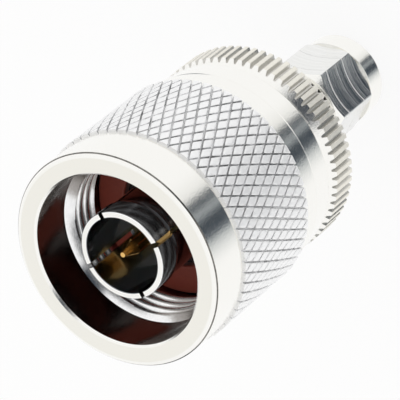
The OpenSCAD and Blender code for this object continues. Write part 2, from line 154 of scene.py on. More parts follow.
@dataclass(frozen=True)
class MetalFinish:
    """A plated metal surface.

    Attributes:
        name: the real finish.
        colour: sRGB hex of the plating.
        roughness: mean roughness.
        surface: how it was made, which sets its marks.
        mark_mm: spacing of the tool marks.
        mark_depth: depth of the tool marks in mm.
        grain_mm: size of the grain of the plating.
        grain_depth: height of that grain in mm.
        tone: how far the colour changes with the marks, from 0 to 1.
    """

    name: str
    colour: str
    roughness: float
    surface: Surface = Surface.PLAIN
    mark_mm: float = 0.3
    mark_depth: float = 0.0
    grain_mm: float = 0.3
    grain_depth: float = 0.001
    tone: float = 0.1

    @cache
    def build(self) -> bpy.types.Material:
        """Builds the node material of this finish once, and hands the same one out again.

        Returns:
            The material.
        """
        material = bpy.data.materials.new(self.name)
        tree = blank_tree(material)
        place = add_node(tree, "ShaderNodeTexCoord", {}).outputs["Object"]
        grain = add_node(
            tree,
            "ShaderNodeTexNoise",
            {"Vector": place, "Scale": per_metre(self.grain_mm), "Detail": 3.0, "Roughness": 0.6},
        ).outputs["Fac"]
        marks, lines = self._marks(tree, place)
        tone = add_node(
            tree,
            "ShaderNodeMapRange",
            {
                "Value": marks,
                "From Min": NOISE_LOW,
                "From Max": NOISE_HIGH,
                "To Min": 1 - self.tone,
                "To Max": 1.0,
            },
        )
        colour = add_node(
            tree,
            "ShaderNodeVectorMath",
            {0: linear(self.colour)[:3], "Scale": tone.outputs[0]},
            operation="SCALE",
        )
        rough = add_node(
            tree,
            "ShaderNodeMapRange",
            {
                "Value": grain,
                "From Min": NOISE_LOW,
                "From Max": NOISE_HIGH,
                "To Min": self.roughness * (1 - ROUGHNESS_SWING),
                "To Max": self.roughness * (1 + ROUGHNESS_SWING),
            },
        )
        if lines is not None:
            rough = add_node(
                tree,
                "ShaderNodeMath",
                {0: lines, 1: DEEP_LINE_ROUGHNESS, 2: rough.outputs[0]},
                operation="MULTIPLY_ADD",
            )
        cut = add_node(tree, "ShaderNodeMath", {0: marks, 1: self.mark_depth}, operation="MULTIPLY")
        height = add_node(
            tree,
            "ShaderNodeMath",
            {0: grain, 1: self.grain_depth, 2: cut.outputs[0]},
            operation="MULTIPLY_ADD",
        )
        bump = add_node(
            tree, "ShaderNodeBump", {"Height": height.outputs[0], "Strength": 1.0, "Distance": MM}
        )
        shader = add_node(
            tree,
            "ShaderNodeBsdfPrincipled",
            {
                "Base Color": colour.outputs[0],
                "Metallic": 1.0,
                "Roughness": rough.outputs[0],
                "Normal": bump.outputs[0],
            },
        )
        add_node(tree, "ShaderNodeOutputMaterial", {"Surface": shader.outputs[0]})
        return material

    def _marks(
        self, tree: bpy.types.NodeTree, place: bpy.types.NodeSocket
    ) -> tuple[bpy.types.NodeSocket, bpy.types.NodeSocket | None]:
        """Draws the tool marks: rings round the axis where turned, arcs across a flat where milled.

        Args:
            tree: the node tree of the material.
            place: the place on the piece.

        Returns:
            The height of the marks, and the share of single deep lines, if there are any.
        """
        if self.surface is Surface.PLAIN:
            uneven = add_node(
                tree,
                "ShaderNodeTexNoise",
                {"Vector": place, "Scale": per_metre(self.mark_mm), "Detail": 2.0},
            )
            return uneven.outputs["Fac"], None
        apart = add_node(tree, "ShaderNodeSeparateXYZ", {"Vector": place})
        level = add_node(tree, "ShaderNodeCombineXYZ", {"X": apart.outputs[0], "Y": apart.outputs[1]})
        radius = add_node(
            tree, "ShaderNodeVectorMath", {0: level.outputs[0]}, operation="LENGTH"
        ).outputs["Value"]
        if self.surface is Surface.MILLED:
            square = add_node(tree, "ShaderNodeMath", {0: radius, 1: 2.0}, operation="POWER")
            along = add_node(
                tree,
                "ShaderNodeMath",
                {0: square.outputs[0], 1: per_metre(MILLED_ARC_MM), 2: apart.outputs[2]},
                operation="MULTIPLY_ADD",
            ).outputs[0]
        else:
            along = add_node(
                tree, "ShaderNodeMath", {0: radius, 1: apart.outputs[2]}, operation="ADD"
            ).outputs[0]
        line = add_node(tree, "ShaderNodeCombineXYZ", {"X": along})
        rings = add_node(
            tree,
            "ShaderNodeTexNoise",
            {
                "Vector": line.outputs[0],
                "Scale": per_metre(self.mark_mm),
                "Detail": 3.0,
                "Roughness": 0.7,
            },
        ).outputs["Fac"]
        lines = self._deep_lines(tree, along) if self.surface is Surface.MILLED else None
        return rings, lines

    @staticmethod
    def _deep_lines(tree: bpy.types.NodeTree, along: bpy.types.NodeSocket) -> bpy.types.NodeSocket:
        """Draws the two narrow lines where the cutter dug in.

        Args:
            tree: the node tree of the material.
            along: the place along the cutter's bent scale.

        Returns:
            1 on the lines and 0 beside them.
        """
        lines = [
            add_node(
                tree,
                "ShaderNodeMath",
                {0: along, 1: centre * MM, 2: DEEP_LINE_MM * MM},
                operation="COMPARE",
            ).outputs[0]
            for centre in MILLED_LINES_MM
        ]
        return add_node(tree, "ShaderNodeMath", dict(enumerate(lines)), operation="MAXIMUM").outputs[0]


class Metals:
    """The metal finishes of the adapter."""

    # Bright nickel over fine turning marks: a mirror that smears a little along each ring
    BRIGHT = MetalFinish(
        "nickel_plate_turned", "#FAF9F5", 0.17, Surface.TURNED,
        mark_mm=0.08, mark_depth=0.002, grain_mm=0.18, grain_depth=0.008, tone=0.03,
    )
    # The rim of the sleeve, faced off and buffed: a clean white ring against the dark mouth
    POLISHED = MetalFinish(
        "nickel_plate_polished", WHITE, 0.12, Surface.TURNED, mark_mm=0.08, mark_depth=0.001, tone=0.02
    )
    # A fine dark line of painted shade: along the outer front corner of the type N nut, and on the front face
    # of the grip ring next to the nut's rear edge
    PAINTED_SHADE_LINE = MetalFinish(
        "nickel_plate_painted_shade_line", "#8D8A85", 0.25, mark_mm=0.4, grain_mm=0.2, grain_depth=0.002, tone=0.5
    )
    # Tops of the diamonds, pressed and scuffed by the roller: pale and nearly matt
    CREST = MetalFinish(
        "nickel_plate_rolled_crest", WHITE, 0.6, mark_depth=0.004, grain_mm=0.12, grain_depth=0.003, tone=0.03
    )
    # Trailing sides of the diamonds: uneven mirrors whose colour is darkened in broken patches, painted shade
    # that draws the dark outlines. The patches are drawn coarse so that they show
    FLANK_PAINTED_SHADE = MetalFinish(
        "nickel_plate_flank_painted_shade", "#FCFCFD", 0.18, mark_mm=0.7, grain_mm=0.15, grain_depth=0.003, tone=0.65
    )
    # Leading sides of the diamonds: soft white slopes, the lit copy of the flank whose trailing sides carry
    # painted shade
    FLANK_LIT = MetalFinish(
        "nickel_plate_flank_lit_copy", WHITE, 0.4, grain_mm=0.15, grain_depth=0.003
    )
    # Floors of the rolled grooves: narrow bright mirrors
    GROOVE = MetalFinish("nickel_plate_rolled_groove", WHITE, 0.14, grain_mm=0.15, grain_depth=0.002)
    # Floors of the straight grooves of the grip ring: greyer satin, painted shade in the grooves
    TOOTH_GROOVE_PAINTED_SHADE = MetalFinish(
        "nickel_plate_straight_groove_painted_shade", "#DAD8D2", 0.35, mark_mm=0.4, grain_mm=0.2, grain_depth=0.003
    )
    # Tops of the teeth of the grip ring: creamy satin left by the fingers
    TOOTH_CREST = MetalFinish(
        "nickel_plate_straight_crest", "#F6F3EA", 0.5, grain_mm=0.15, grain_depth=0.002, tone=0.05
    )
    # Bored wall of the mouth: a deep mirror, its colour darkened as painted shade deep in the mouth, that
    # shows the red seal as dark maroon
    LEAD_IN_PAINTED_SHADE = MetalFinish(
        "nickel_plate_bored_painted_shade", "#A29D99", 0.15, Surface.TURNED, mark_mm=0.1, mark_depth=0.0004, tone=0.04
    )
    # Flanks of the coupling thread, cut and then plated: bright, with dark roots
    THREAD = MetalFinish(
        "nickel_plate_thread_cut", "#FCFCFC", 0.15, mark_mm=0.4, grain_depth=0.002, tone=0.04
    )
    # Outside of the contact sleeve: plate darkened as painted shade deep in the nut's mouth, with turning
    # rings, which are a tenth of a millimetre apart on the real one and are drawn coarser here so that they
    # show
    SLEEVE_PAINTED_SHADE = MetalFinish(
        "nickel_plate_contact_painted_shade", "#868789", 0.12, Surface.TURNED, mark_mm=0.55, mark_depth=0.002, tone=0.3
    )
    # Inside of the contact sleeve, reamed: darkened as painted shade, and mirroring the gold pin in bands.
    # The reamer's rings are drawn coarser here, for the same reason
    SLEEVE_BORE_PAINTED_SHADE = MetalFinish(
        "nickel_plate_contact_bore_painted_shade", "#9C9FA3", 0.13, Surface.TURNED, mark_mm=0.6, mark_depth=0.004
    )
    # Flats of the hexagon, face-milled: arcs of the cutter, two of them deep enough to catch the light
    MILLED = MetalFinish(
        "nickel_plate_milled_flat", "#F6F6F4", 0.14, Surface.MILLED,
        mark_mm=0.22, mark_depth=0.045, grain_depth=0.003, tone=0.15,
    )
    # Gold over turned brass: a warm mirror
    GOLD = MetalFinish(
        "gold_plate_turned", "#EDC079", 0.16, Surface.TURNED, mark_mm=0.1, mark_depth=0.001, tone=0.05
    )
    # Thicker shank of the pin: a paler gold, painted light where the shank is lit, that also picks up the
    # white bead below it
    GOLD_SHANK_PAINTED_LIGHT = MetalFinish(
        "gold_plate_painted_light", "#FBE3AC", 0.16, Surface.TURNED, mark_mm=0.1, mark_depth=0.001, tone=0.05
    )


@dataclass(frozen=True)
class SoftFinish:
    """A moulded or machined plastic or rubber surface.

    Attributes:
        name: the real finish.
        colour: sRGB hex of the body colour.
        shade: sRGB hex where the grain is deepest.
        roughness: roughness of the surface.
        grain_mm: size of its grain.
        grain_depth: depth of its grain in mm.
        scatter: share of light that scatters under the surface.
        scatter_mm: how far that light goes.
    """

    name: str
    colour: str
    shade: str
    roughness: float
    grain_mm: float
    grain_depth: float = 0.03
    scatter: float = 0.0
    scatter_mm: float = 0.4

    @cache
    def build(self) -> bpy.types.Material:
        """Builds the node material of this finish once, and hands the same one out again.

        Returns:
            The material.
        """
        material = bpy.data.materials.new(self.name)
        tree = blank_tree(material)
        place = add_node(tree, "ShaderNodeTexCoord", {}).outputs["Object"]
        grain = add_node(
            tree,
            "ShaderNodeTexNoise",
            {"Vector": place, "Scale": per_metre(self.grain_mm), "Detail": 4.0},
        ).outputs["Fac"]
        tone = add_node(
            tree, "ShaderNodeMixRGB", {0: grain, 1: linear(self.colour), 2: linear(self.shade)}
        )
        bump = add_node(
            tree,
            "ShaderNodeBump",
            {"Height": grain, "Strength": 0.2, "Distance": self.grain_depth * MM},
        )
        shader = add_node(
            tree,
            "ShaderNodeBsdfPrincipled",
            {
                "Base Color": tone.outputs[0],
                "Roughness": self.roughness,
                "Subsurface Weight": self.scatter,
                "Subsurface Scale": self.scatter_mm * MM,
                "Normal": bump.outputs[0],
            },
        )
        add_node(tree, "ShaderNodeOutputMaterial", {"Surface": shader.outputs[0]})
        return material


class Softs:
    """The plastic and rubber finishes of the adapter."""

    # Iron-oxide red silicone out of a smooth mould: a dull, even red-brown with a weak shine
    SILICONE = SoftFinish("silicone_moulded", "#A8503F", "#964537", 0.42, grain_mm=0.35)
    # White fluoropolymer, turned: waxy, and letting a little light in
    PTFE = SoftFinish("ptfe_machined", "#ECEAE4", "#DDDAD2", 0.5, grain_mm=0.4, scatter=0.1)


Finish = MetalFinish | SoftFinish


@dataclass(frozen=True)
class Corner:
    """A corner of a turned section.

    Attributes:
        r: radius in mm.
        z: height in mm.
        round: radius of the fillet in mm.
        finish: finish of the surface that starts here, where it isn't that of the piece.
    """

    r: float
    z: float
    round: float = 0.0
    finish: Finish | None = None

    def way_to(self, other: "Corner") -> Vector:
        """Way from here to another corner, in the plane of the section."""
        return Vector((other.r - self.r, other.z - self.z))


@dataclass(frozen=True)
class Station:
    """A point of a section once its corners are rounded.

    Attributes:
        place: radius and height in mm.
        normal_in: outward normal of the stretch that ends here.
        normal_out: outward normal of the stretch that starts here.
        finish: finish of the stretch that starts here, where it isn't that of the piece.
    """

    place: Vector
    normal_in: Vector
    normal_out: Vector
    finish: Finish | None


@dataclass(frozen=True)
class Span:
    """A short straight stretch of a turned section.

    Attributes:
        start: radius and height of its start in mm.
        end: radius and height of its end in mm.
        start_normal: outward normal at its start.
        end_normal: outward normal at its end.
        finish: its finish, where it isn't that of the piece.
    """

    start: Flat
    end: Flat
    start_normal: Flat
    end_normal: Flat
    finish: Finish | None


# Faces along each fillet
FILLET_STEPS = 4
# A fillet takes up this share of a side at most
FILLET_SHARE = 0.45
# A corner that turns by less than this, in radians, needs no fillet
SMOOTH_TURN = 0.02


def left_of(way: Vector) -> Vector:
    """Unit normal to the left of a way, where the outside of a section lies."""
    return Vector((-way.y, way.x)).normalized()


def rounded(corner: Corner, before: Corner | None, after: Corner | None) -> list[Station]:
    """Rounds one corner of a section.

    Args:
        corner: the corner.
        before: the corner before it, if there is one.
        after: the corner after it, if there is one.

    Returns:
        One station at a sharp corner or an open end, or the stations of a fillet.
    """
    here = Vector((corner.r, corner.z))
    if before is None or after is None:
        normal = left_of(corner.way_to(after) if after else before.way_to(corner))
        return [Station(here, normal, normal, corner.finish)]
    into, out = before.way_to(corner), corner.way_to(after)
    normal_in, normal_out = left_of(into), left_of(out)
    turn = abs(into.angle_signed(out, 0.0))
    reach = min(corner.round * math.tan(turn / 2), FILLET_SHARE * into.length, FILLET_SHARE * out.length)
    if corner.round <= 0 or turn < SMOOTH_TURN or reach <= 0:
        return [Station(here, normal_in, normal_out, corner.finish)]
    first, last = here - into.normalized() * reach, here + out.normalized() * reach
    radius = reach / math.tan(turn / 2)
    side = 1 if normal_in.dot(out) < 0 else -1
    centre = first - side * normal_in * radius
    fillet = []
    for step in range(FILLET_STEPS):
        spin = side * -turn * step / FILLET_STEPS
        c, s = math.cos(spin), math.sin(spin)
        normal = Vector((normal_in.x * c - normal_in.y * s, normal_in.x * s + normal_in.y * c))
        fillet.append(Station(centre + side * normal * radius, normal, normal, before.finish))
    fillet.append(Station(last, normal_out, normal_out, corner.finish))
    return fillet


def section_spans(corners: list[Corner], closed: bool) -> list[Span]:
    """Rounds the corners of a section and gives its stretches in order.

    The section runs clockwise as seen with the radius to the right and the height up, so that
    the outside lies to the left.

    Args:
        corners: the corners in order.
        closed: whether the last corner joins the first.

    Returns:
        The stretches, with normals that turn smoothly round each fillet.
    """
    line: list[Station] = []
    for i, corner in enumerate(corners):
        before = corners[i - 1] if closed or i > 0 else None
        after = corners[(i + 1) % len(corners)] if closed or i < len(corners) - 1 else None
        line += rounded(corner, before, after)
    ends = line[1:] + line[:1] if closed else line[1:]
    return [
        Span(tuple(a.place), tuple(b.place), tuple(a.normal_out), tuple(b.normal_in), a.finish)
        for a, b in zip(line, ends)
        if (a.place - b.place).length > SAME_PLACE
    ]


def outward(at: Vector) -> Point:
    """Guide for a face that looks away from the axis."""
    return (at.x, at.y, 0.0)


def inward(at: Vector) -> Point:
    """Guide for a face that looks towards the axis."""
    return (-at.x, -at.y, 0.0)


def upward(_: Vector) -> Point:
    """Guide for a face that looks up the axis."""
    return (0.0, 0.0, 1.0)


def downward(_: Vector) -> Point:
    """Guide for a face that looks down the axis."""
    return (0.0, 0.0, -1.0)


class Draft:
    """Collects rings and faces of a piece in mm, then makes one clean mesh object of them."""

    # Metres within which two vertices are merged, and below which an edge is dropped
    MERGE = 2e-7
    EMPTY = 1e-8

    def __init__(self, finish: Finish, segments: int = 192) -> None:
        """Starts an empty piece.

        Args:
            finish: the finish of every face that names none.
            segments: faces round the axis.
        """
        self.finish = finish
        self.angles = [FULL_TURN * i / segments for i in range(segments + 1)]
        self.points: list[Point] = []
        self.faces: list[tuple[int, ...]] = []
        self.normals: list[Point] = []
        self.finishes: list[Finish] = []

    def face(
        self,
        points: list[Point],
        guide: Point,
        normals: list[Point] | None = None,
        finish: Finish | None = None,
    ) -> None:
        """Adds one face.

        Args:
            points: its corners, in either order.
            guide: the way that it looks, roughly.
            normals: the exact normal at each corner, or none to leave them to the mesh.
            finish: its finish, where it isn't that of the piece.
        """
        flow = Vector((0, 0, 0))
        for a, b in zip(points, points[1:] + points[:1]):
            flow += Vector(a).cross(Vector(b))
        given = normals or [(0.0, 0.0, 0.0)] * len(points)
        if flow.dot(Vector(guide)) < 0:
            points, given = points[::-1], given[::-1]
        start = len(self.points)
        self.points.extend(points)
        self.faces.append(tuple(range(start, start + len(points))))
        self.normals.extend(given)
        self.finishes.append(finish or self.finish)

    def turn(
        self,
        corners: list[Corner],
        closed: bool = True,
        angles: Callable[[float], list[float]] | None = None,
        skip: Callable[[Span, int], bool] | None = None,
    ) -> None:
        """Turns a section round the axis, with exact normals.

        Args:
            corners: the section, clockwise.
            closed: whether it closes on itself.
            angles: gives the angles of the cells at a radius, where they change with it.
            skip: says whether a cell of a stretch is left out.
        """
        for span in section_spans(corners, closed):
            start_angles = angles(span.start[0]) if angles else self.angles
            end_angles = angles(span.end[0]) if angles else self.angles
            for i in range(len(start_angles) - 1):
                if not (skip and skip(span, i)):
                    self._turned_quad(span, start_angles[i : i + 2], end_angles[i : i + 2])

    def _turned_quad(self, span: Span, start: list[float], end: list[float]) -> None:
        """Adds one face of a turned surface, or a triangle where the surface meets the axis.

        Args:
            span: the stretch of the section.
            start: the two angles at its start.
            end: the two angles at its end.
        """
        first = [(*span.start, *span.start_normal, angle) for angle in start]
        last = [(*span.end, *span.end_normal, angle) for angle in reversed(end)]
        cells = first + last
        if span.start[0] < SAME_PLACE:
            cells = cells[1:]
        elif span.end[0] < SAME_PLACE:
            cells = cells[:3]
        points = [polar(r, angle, z) for r, z, _, _, angle in cells]
        normals = [polar(out, angle, up) for _, _, out, up, angle in cells]
        middle = sum((Vector(normal) for normal in normals), Vector((0, 0, 0)))
        self.face(points, tuple(middle), normals, span.finish)

    def ring(self, spots: list[Flat]) -> Ring:
        """Ring of points from a radius and a height at each angle of the piece."""
        return [polar(r, angle, z) for angle, (r, z) in zip(self.angles, spots)]

    def bridge(
        self,
        lower: Ring,
        upper: Ring,
        guide: Callable[[Vector], Point],
        finish: Finish | None = None,
        columns: list[Finish] | None = None,
    ) -> None:
        """Joins two rings of points with faces, with normals left to the mesh.

        Args:
            lower: the first ring.
            upper: the second ring.
            guide: gives the way that a face at a place looks.
            finish: their finish, where it isn't that of the piece.
            columns: finish of each face round the ring, where it changes.
        """
        for i in range(len(lower) - 1):
            quad = [lower[i], lower[i + 1], upper[i + 1], upper[i]]
            middle = sum((Vector(point) for point in quad), Vector((0, 0, 0))) / 4
            self.face(quad, guide(middle), finish=columns[i] if columns else finish)

    def make(self, name: str, sharp_degrees: float = 35.0) -> bpy.types.Object:
        """Makes the mesh object: merges points, drops empty faces and sets the normals.

        Args:
            name: name of the piece.
            sharp_degrees: the angle from which an edge without exact normals is sharp.

        Returns:
            The object, linked to the scene.
        """
        mesh = bpy.data.meshes.new(name)
        mesh.from_pydata([(x * MM, y * MM, z * MM) for x, y, z in self.points], [], self.faces)
        slots = {finish: number for number, finish in enumerate(dict.fromkeys(self.finishes))}
        for finish in slots:
            mesh.materials.append(finish.build())
        mesh.polygons.foreach_set("material_index", [slots[finish] for finish in self.finishes])
        exact = mesh.attributes.new("exact_normal", "FLOAT_VECTOR", "CORNER")
        exact.data.foreach_set("vector", [part for normal in self.normals for part in normal])
        work = bmesh.new()
        work.from_mesh(mesh)
        bmesh.ops.remove_doubles(work, verts=work.verts, dist=self.MERGE)
        bmesh.ops.dissolve_degenerate(work, edges=work.edges, dist=self.EMPTY)
        work.to_mesh(mesh)
        work.free()
        mesh.polygons.foreach_set("use_smooth", [True] * len(mesh.polygons))
        mesh.set_sharp_from_angle(angle=math.radians(sharp_degrees))
        own = [Vector(normal.vector) for normal in mesh.corner_normals]
        # An exact normal has a length of 1, and a normal left to the mesh one of 0
        wanted = [Vector(value.vector) for value in mesh.attributes["exact_normal"].data]
        mesh.normals_split_custom_set([w if w.length > 0.5 else o for w, o in zip(wanted, own)])
        mesh.attributes.remove(mesh.attributes["exact_normal"])
        made = bpy.data.objects.new(name, mesh)
        bpy.context.scene.collection.objects.link(made)
        return made


def place_piece(piece: bpy.types.Object, body: str, node: str) -> None:
    """Lets a piece ride on a body and stand for its CAD node.

    Args:
        piece: the piece.
        body: the moving body that carries it.
        node: the CAD node that it stands for.
    """
    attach(piece, body)
    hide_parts(node)
    LOG.info("%s rides on %s, %d faces", piece.name, body, len(piece.data.polygons))


@dataclass
class ThreadCut:
    """A right-handed inside thread between two heights.

    Attributes:
        crest_r: radius of the crest in mm.
        depth: depth of the groove in mm.
        pitch: rise of one turn in mm.
        low: lower end in mm.
        high: upper end in mm.
        low_r: radius of the bore at the lower end.
        high_r: radius of the bore at the upper end.
        turn: turns by which the helix is shifted.
    """

    crest_r: float
    depth: float
    pitch: float
    low: float
    high: float
    low_r: float
    high_r: float
    turn: float = 0.0

    # Share of the pitch and share of the depth, over one turn of a 60 degree thread
    FORM = (
        (0.0, 0.03), (0.04, 0.0), (0.12, 0.0), (0.16, 0.03), (0.32, 0.5), (0.46, 0.95),
        (0.5, 1.0), (0.58, 1.0), (0.66, 1.0), (0.7, 0.95), (0.84, 0.5), (0.94, 0.15),
    )
    # Turns past either end, so that the rows reach both ends all the way round
    SPARE_TURNS = 2

    def radius(self, z: float, share: float) -> float:
        """Gives the radius of the bore: the thread, opened by the bevels at both its ends.

        Args:
            z: height in mm.
            share: share of the thread's depth.

        Returns:
            The radius in mm.
        """
        if z in (self.low, self.high):
            return self.low_r if z == self.low else self.high_r
        return max(
            self.crest_r + self.depth * share,
            self.low_r - (z - self.low),
            self.high_r - (self.high - z),
        )

    def cut(self, draft: Draft) -> None:
        """Adds the thread to a piece, as rows that follow its helix and end flat.

        Args:
            draft: the piece that takes the thread.
        """
        rows = []
        turns = math.ceil((self.high - self.low) / self.pitch)
        for turn in range(-self.SPARE_TURNS - 1, turns + self.SPARE_TURNS - 1):
            for phase, share in self.FORM:
                rises = [turn + phase + angle / FULL_TURN + self.turn for angle in draft.angles]
                heights = [min(self.high, max(self.low, self.low + rise * self.pitch)) for rise in rises]
                rows.append(draft.ring([(self.radius(z, share), z) for z in heights]))
        for lower, upper in zip(rows, rows[1:]):
            draft.bridge(lower, upper, inward, Metals.THREAD)


@dataclass(frozen=True)
class Loop:
    """One of the nested loops that a diamond is built of.

    Attributes:
        size: its size against the whole diamond.
        height: its height against the depth of the grooves.
        square: its shape: 1 is a plain diamond, and more swells its sides.
        leading: finish between it and the next loop, on the leading side.
        trailing: finish there on the trailing side.
    """

    size: float
    height: float
    square: float
    leading: Finish
    trailing: Finish


@dataclass
class DiamondKnurl:
    """Crossed helical grooves that leave diamonds with softly rounded crests.

    Attributes:
        low: lower end in mm.
        high: upper end in mm.
        crest_r: radius over the crests in mm.
        depth: depth of the grooves in mm.
        around: diamonds around.
        rows: diamonds along.
        side_steps: faces along each side of a diamond.
        lean: spread of the slope of the crests, against the depth of the grooves.
        sink: spread of the height of the crests, against the depth of the grooves.
        seed: seed of both.
    """

    low: float
    high: float
    crest_r: float
    depth: float
    around: int = 62
    rows: int = 5
    side_steps: int = 3
    lean: float = 0.012
    sink: float = 0.008
    seed: int = 7

    # From the floor of the grooves up over the flank and its rounded shoulder to the crest; the trailing
    # flanks carry painted shade, the leading ones stay white
    LOOPS = (
        Loop(1.0, 0.0, 1.0, Metals.GROOVE, Metals.GROOVE),
        Loop(0.95, 0.04, 1.0, Metals.FLANK_LIT, Metals.FLANK_PAINTED_SHADE),
        Loop(0.84, 0.72, 1.03, Metals.FLANK_LIT, Metals.FLANK_PAINTED_SHADE),
        Loop(0.79, 0.93, 1.06, Metals.CREST, Metals.CREST),
        Loop(0.72, 1.0, 1.1, Metals.CREST, Metals.CREST),
        Loop(0.3, 1.0, 1.2, Metals.CREST, Metals.CREST),
    )
    # The four tips of a diamond, and the first again
    TIPS = ((1, 0), (0, 1), (-1, 0), (0, -1), (1, 0))

    def cut(self, draft: Draft) -> None:
        """Adds the diamonds to a piece.

        Args:
            draft: the piece that takes the knurl.
        """
        chance = random.Random(self.seed)
        for up in range(2 * self.rows + 1):
            for k in range(self.around):
                across = 2 * k + (up + 1) % 2
                tilt = (chance.gauss(0, self.lean), chance.gauss(0, self.lean), chance.gauss(0, self.sink))
                self._diamond(draft, across, up, tilt)

    def _loop(self, across: int, up: int, loop: Loop, tilt: Point) -> Ring:
        """Gives the points of one loop of a diamond, cut off at the ends of the band.

        Args:
            across: place of the diamond round the axis, in half diamonds.
            up: place of the diamond along the axis, in half diamonds.
            loop: the loop.
            tilt: slopes and height of the crest, against the depth of the grooves.

        Returns:
            The points, one for each face along the sides.
        """
        half_step = (self.high - self.low) / (2 * self.rows)
        points = []
        for i in range(4 * self.side_steps):
            side, part = divmod(i, self.side_steps)
            share = part / self.side_steps
            (x0, y0), (x1, y1) = self.TIPS[side], self.TIPS[side + 1]
            x, y = x0 + (x1 - x0) * share, y0 + (y1 - y0) * share
            swell = (abs(x) ** loop.square + abs(y) ** loop.square) ** (-1 / loop.square)
            x, y = x * swell * loop.size, y * swell * loop.size
            z = min(self.high, max(self.low, self.low + (up + y) * half_step))
            lift = loop.height * (tilt[2] + tilt[0] * x + tilt[1] * y)
            r = self.crest_r - self.depth * (1 - loop.height) + min(0.0, lift)
            points.append(polar(r, (across + x) * math.pi / self.around, z))
        return points

    def _diamond(self, draft: Draft, across: int, up: int, tilt: Point) -> None:
        """Adds one diamond.

        Args:
            draft: the piece that takes it.
            across: its place round the axis, in half diamonds.
            up: its place along the axis, in half diamonds.
            tilt: slopes and height of its crest, against the depth of the grooves.
        """
        rings = [self._loop(across, up, loop, tilt) for loop in self.LOOPS]
        radial = polar(1.0, across * math.pi / self.around, 0.0)
        for outer, inner, loop in zip(rings, rings[1:], self.LOOPS):
            for i in range(len(outer)):
                j = (i + 1) % len(outer)
                quad = [outer[i], outer[j], inner[j], inner[i]]
                heights = {point[2] for point in quad}
                if heights == {self.low} or heights == {self.high}:
                    end = -1.0 if heights == {self.low} else 1.0
                    draft.face(quad, (0.0, 0.0, end), finish=Metals.CREST)
                else:
                    # Of the four sides, the second and the third trail, and their flanks carry painted shade
                    trailing = self.side_steps <= i < 3 * self.side_steps
                    draft.face(quad, radial, finish=loop.trailing if trailing else loop.leading)
        draft.face(rings[-1], radial, finish=Metals.CREST)


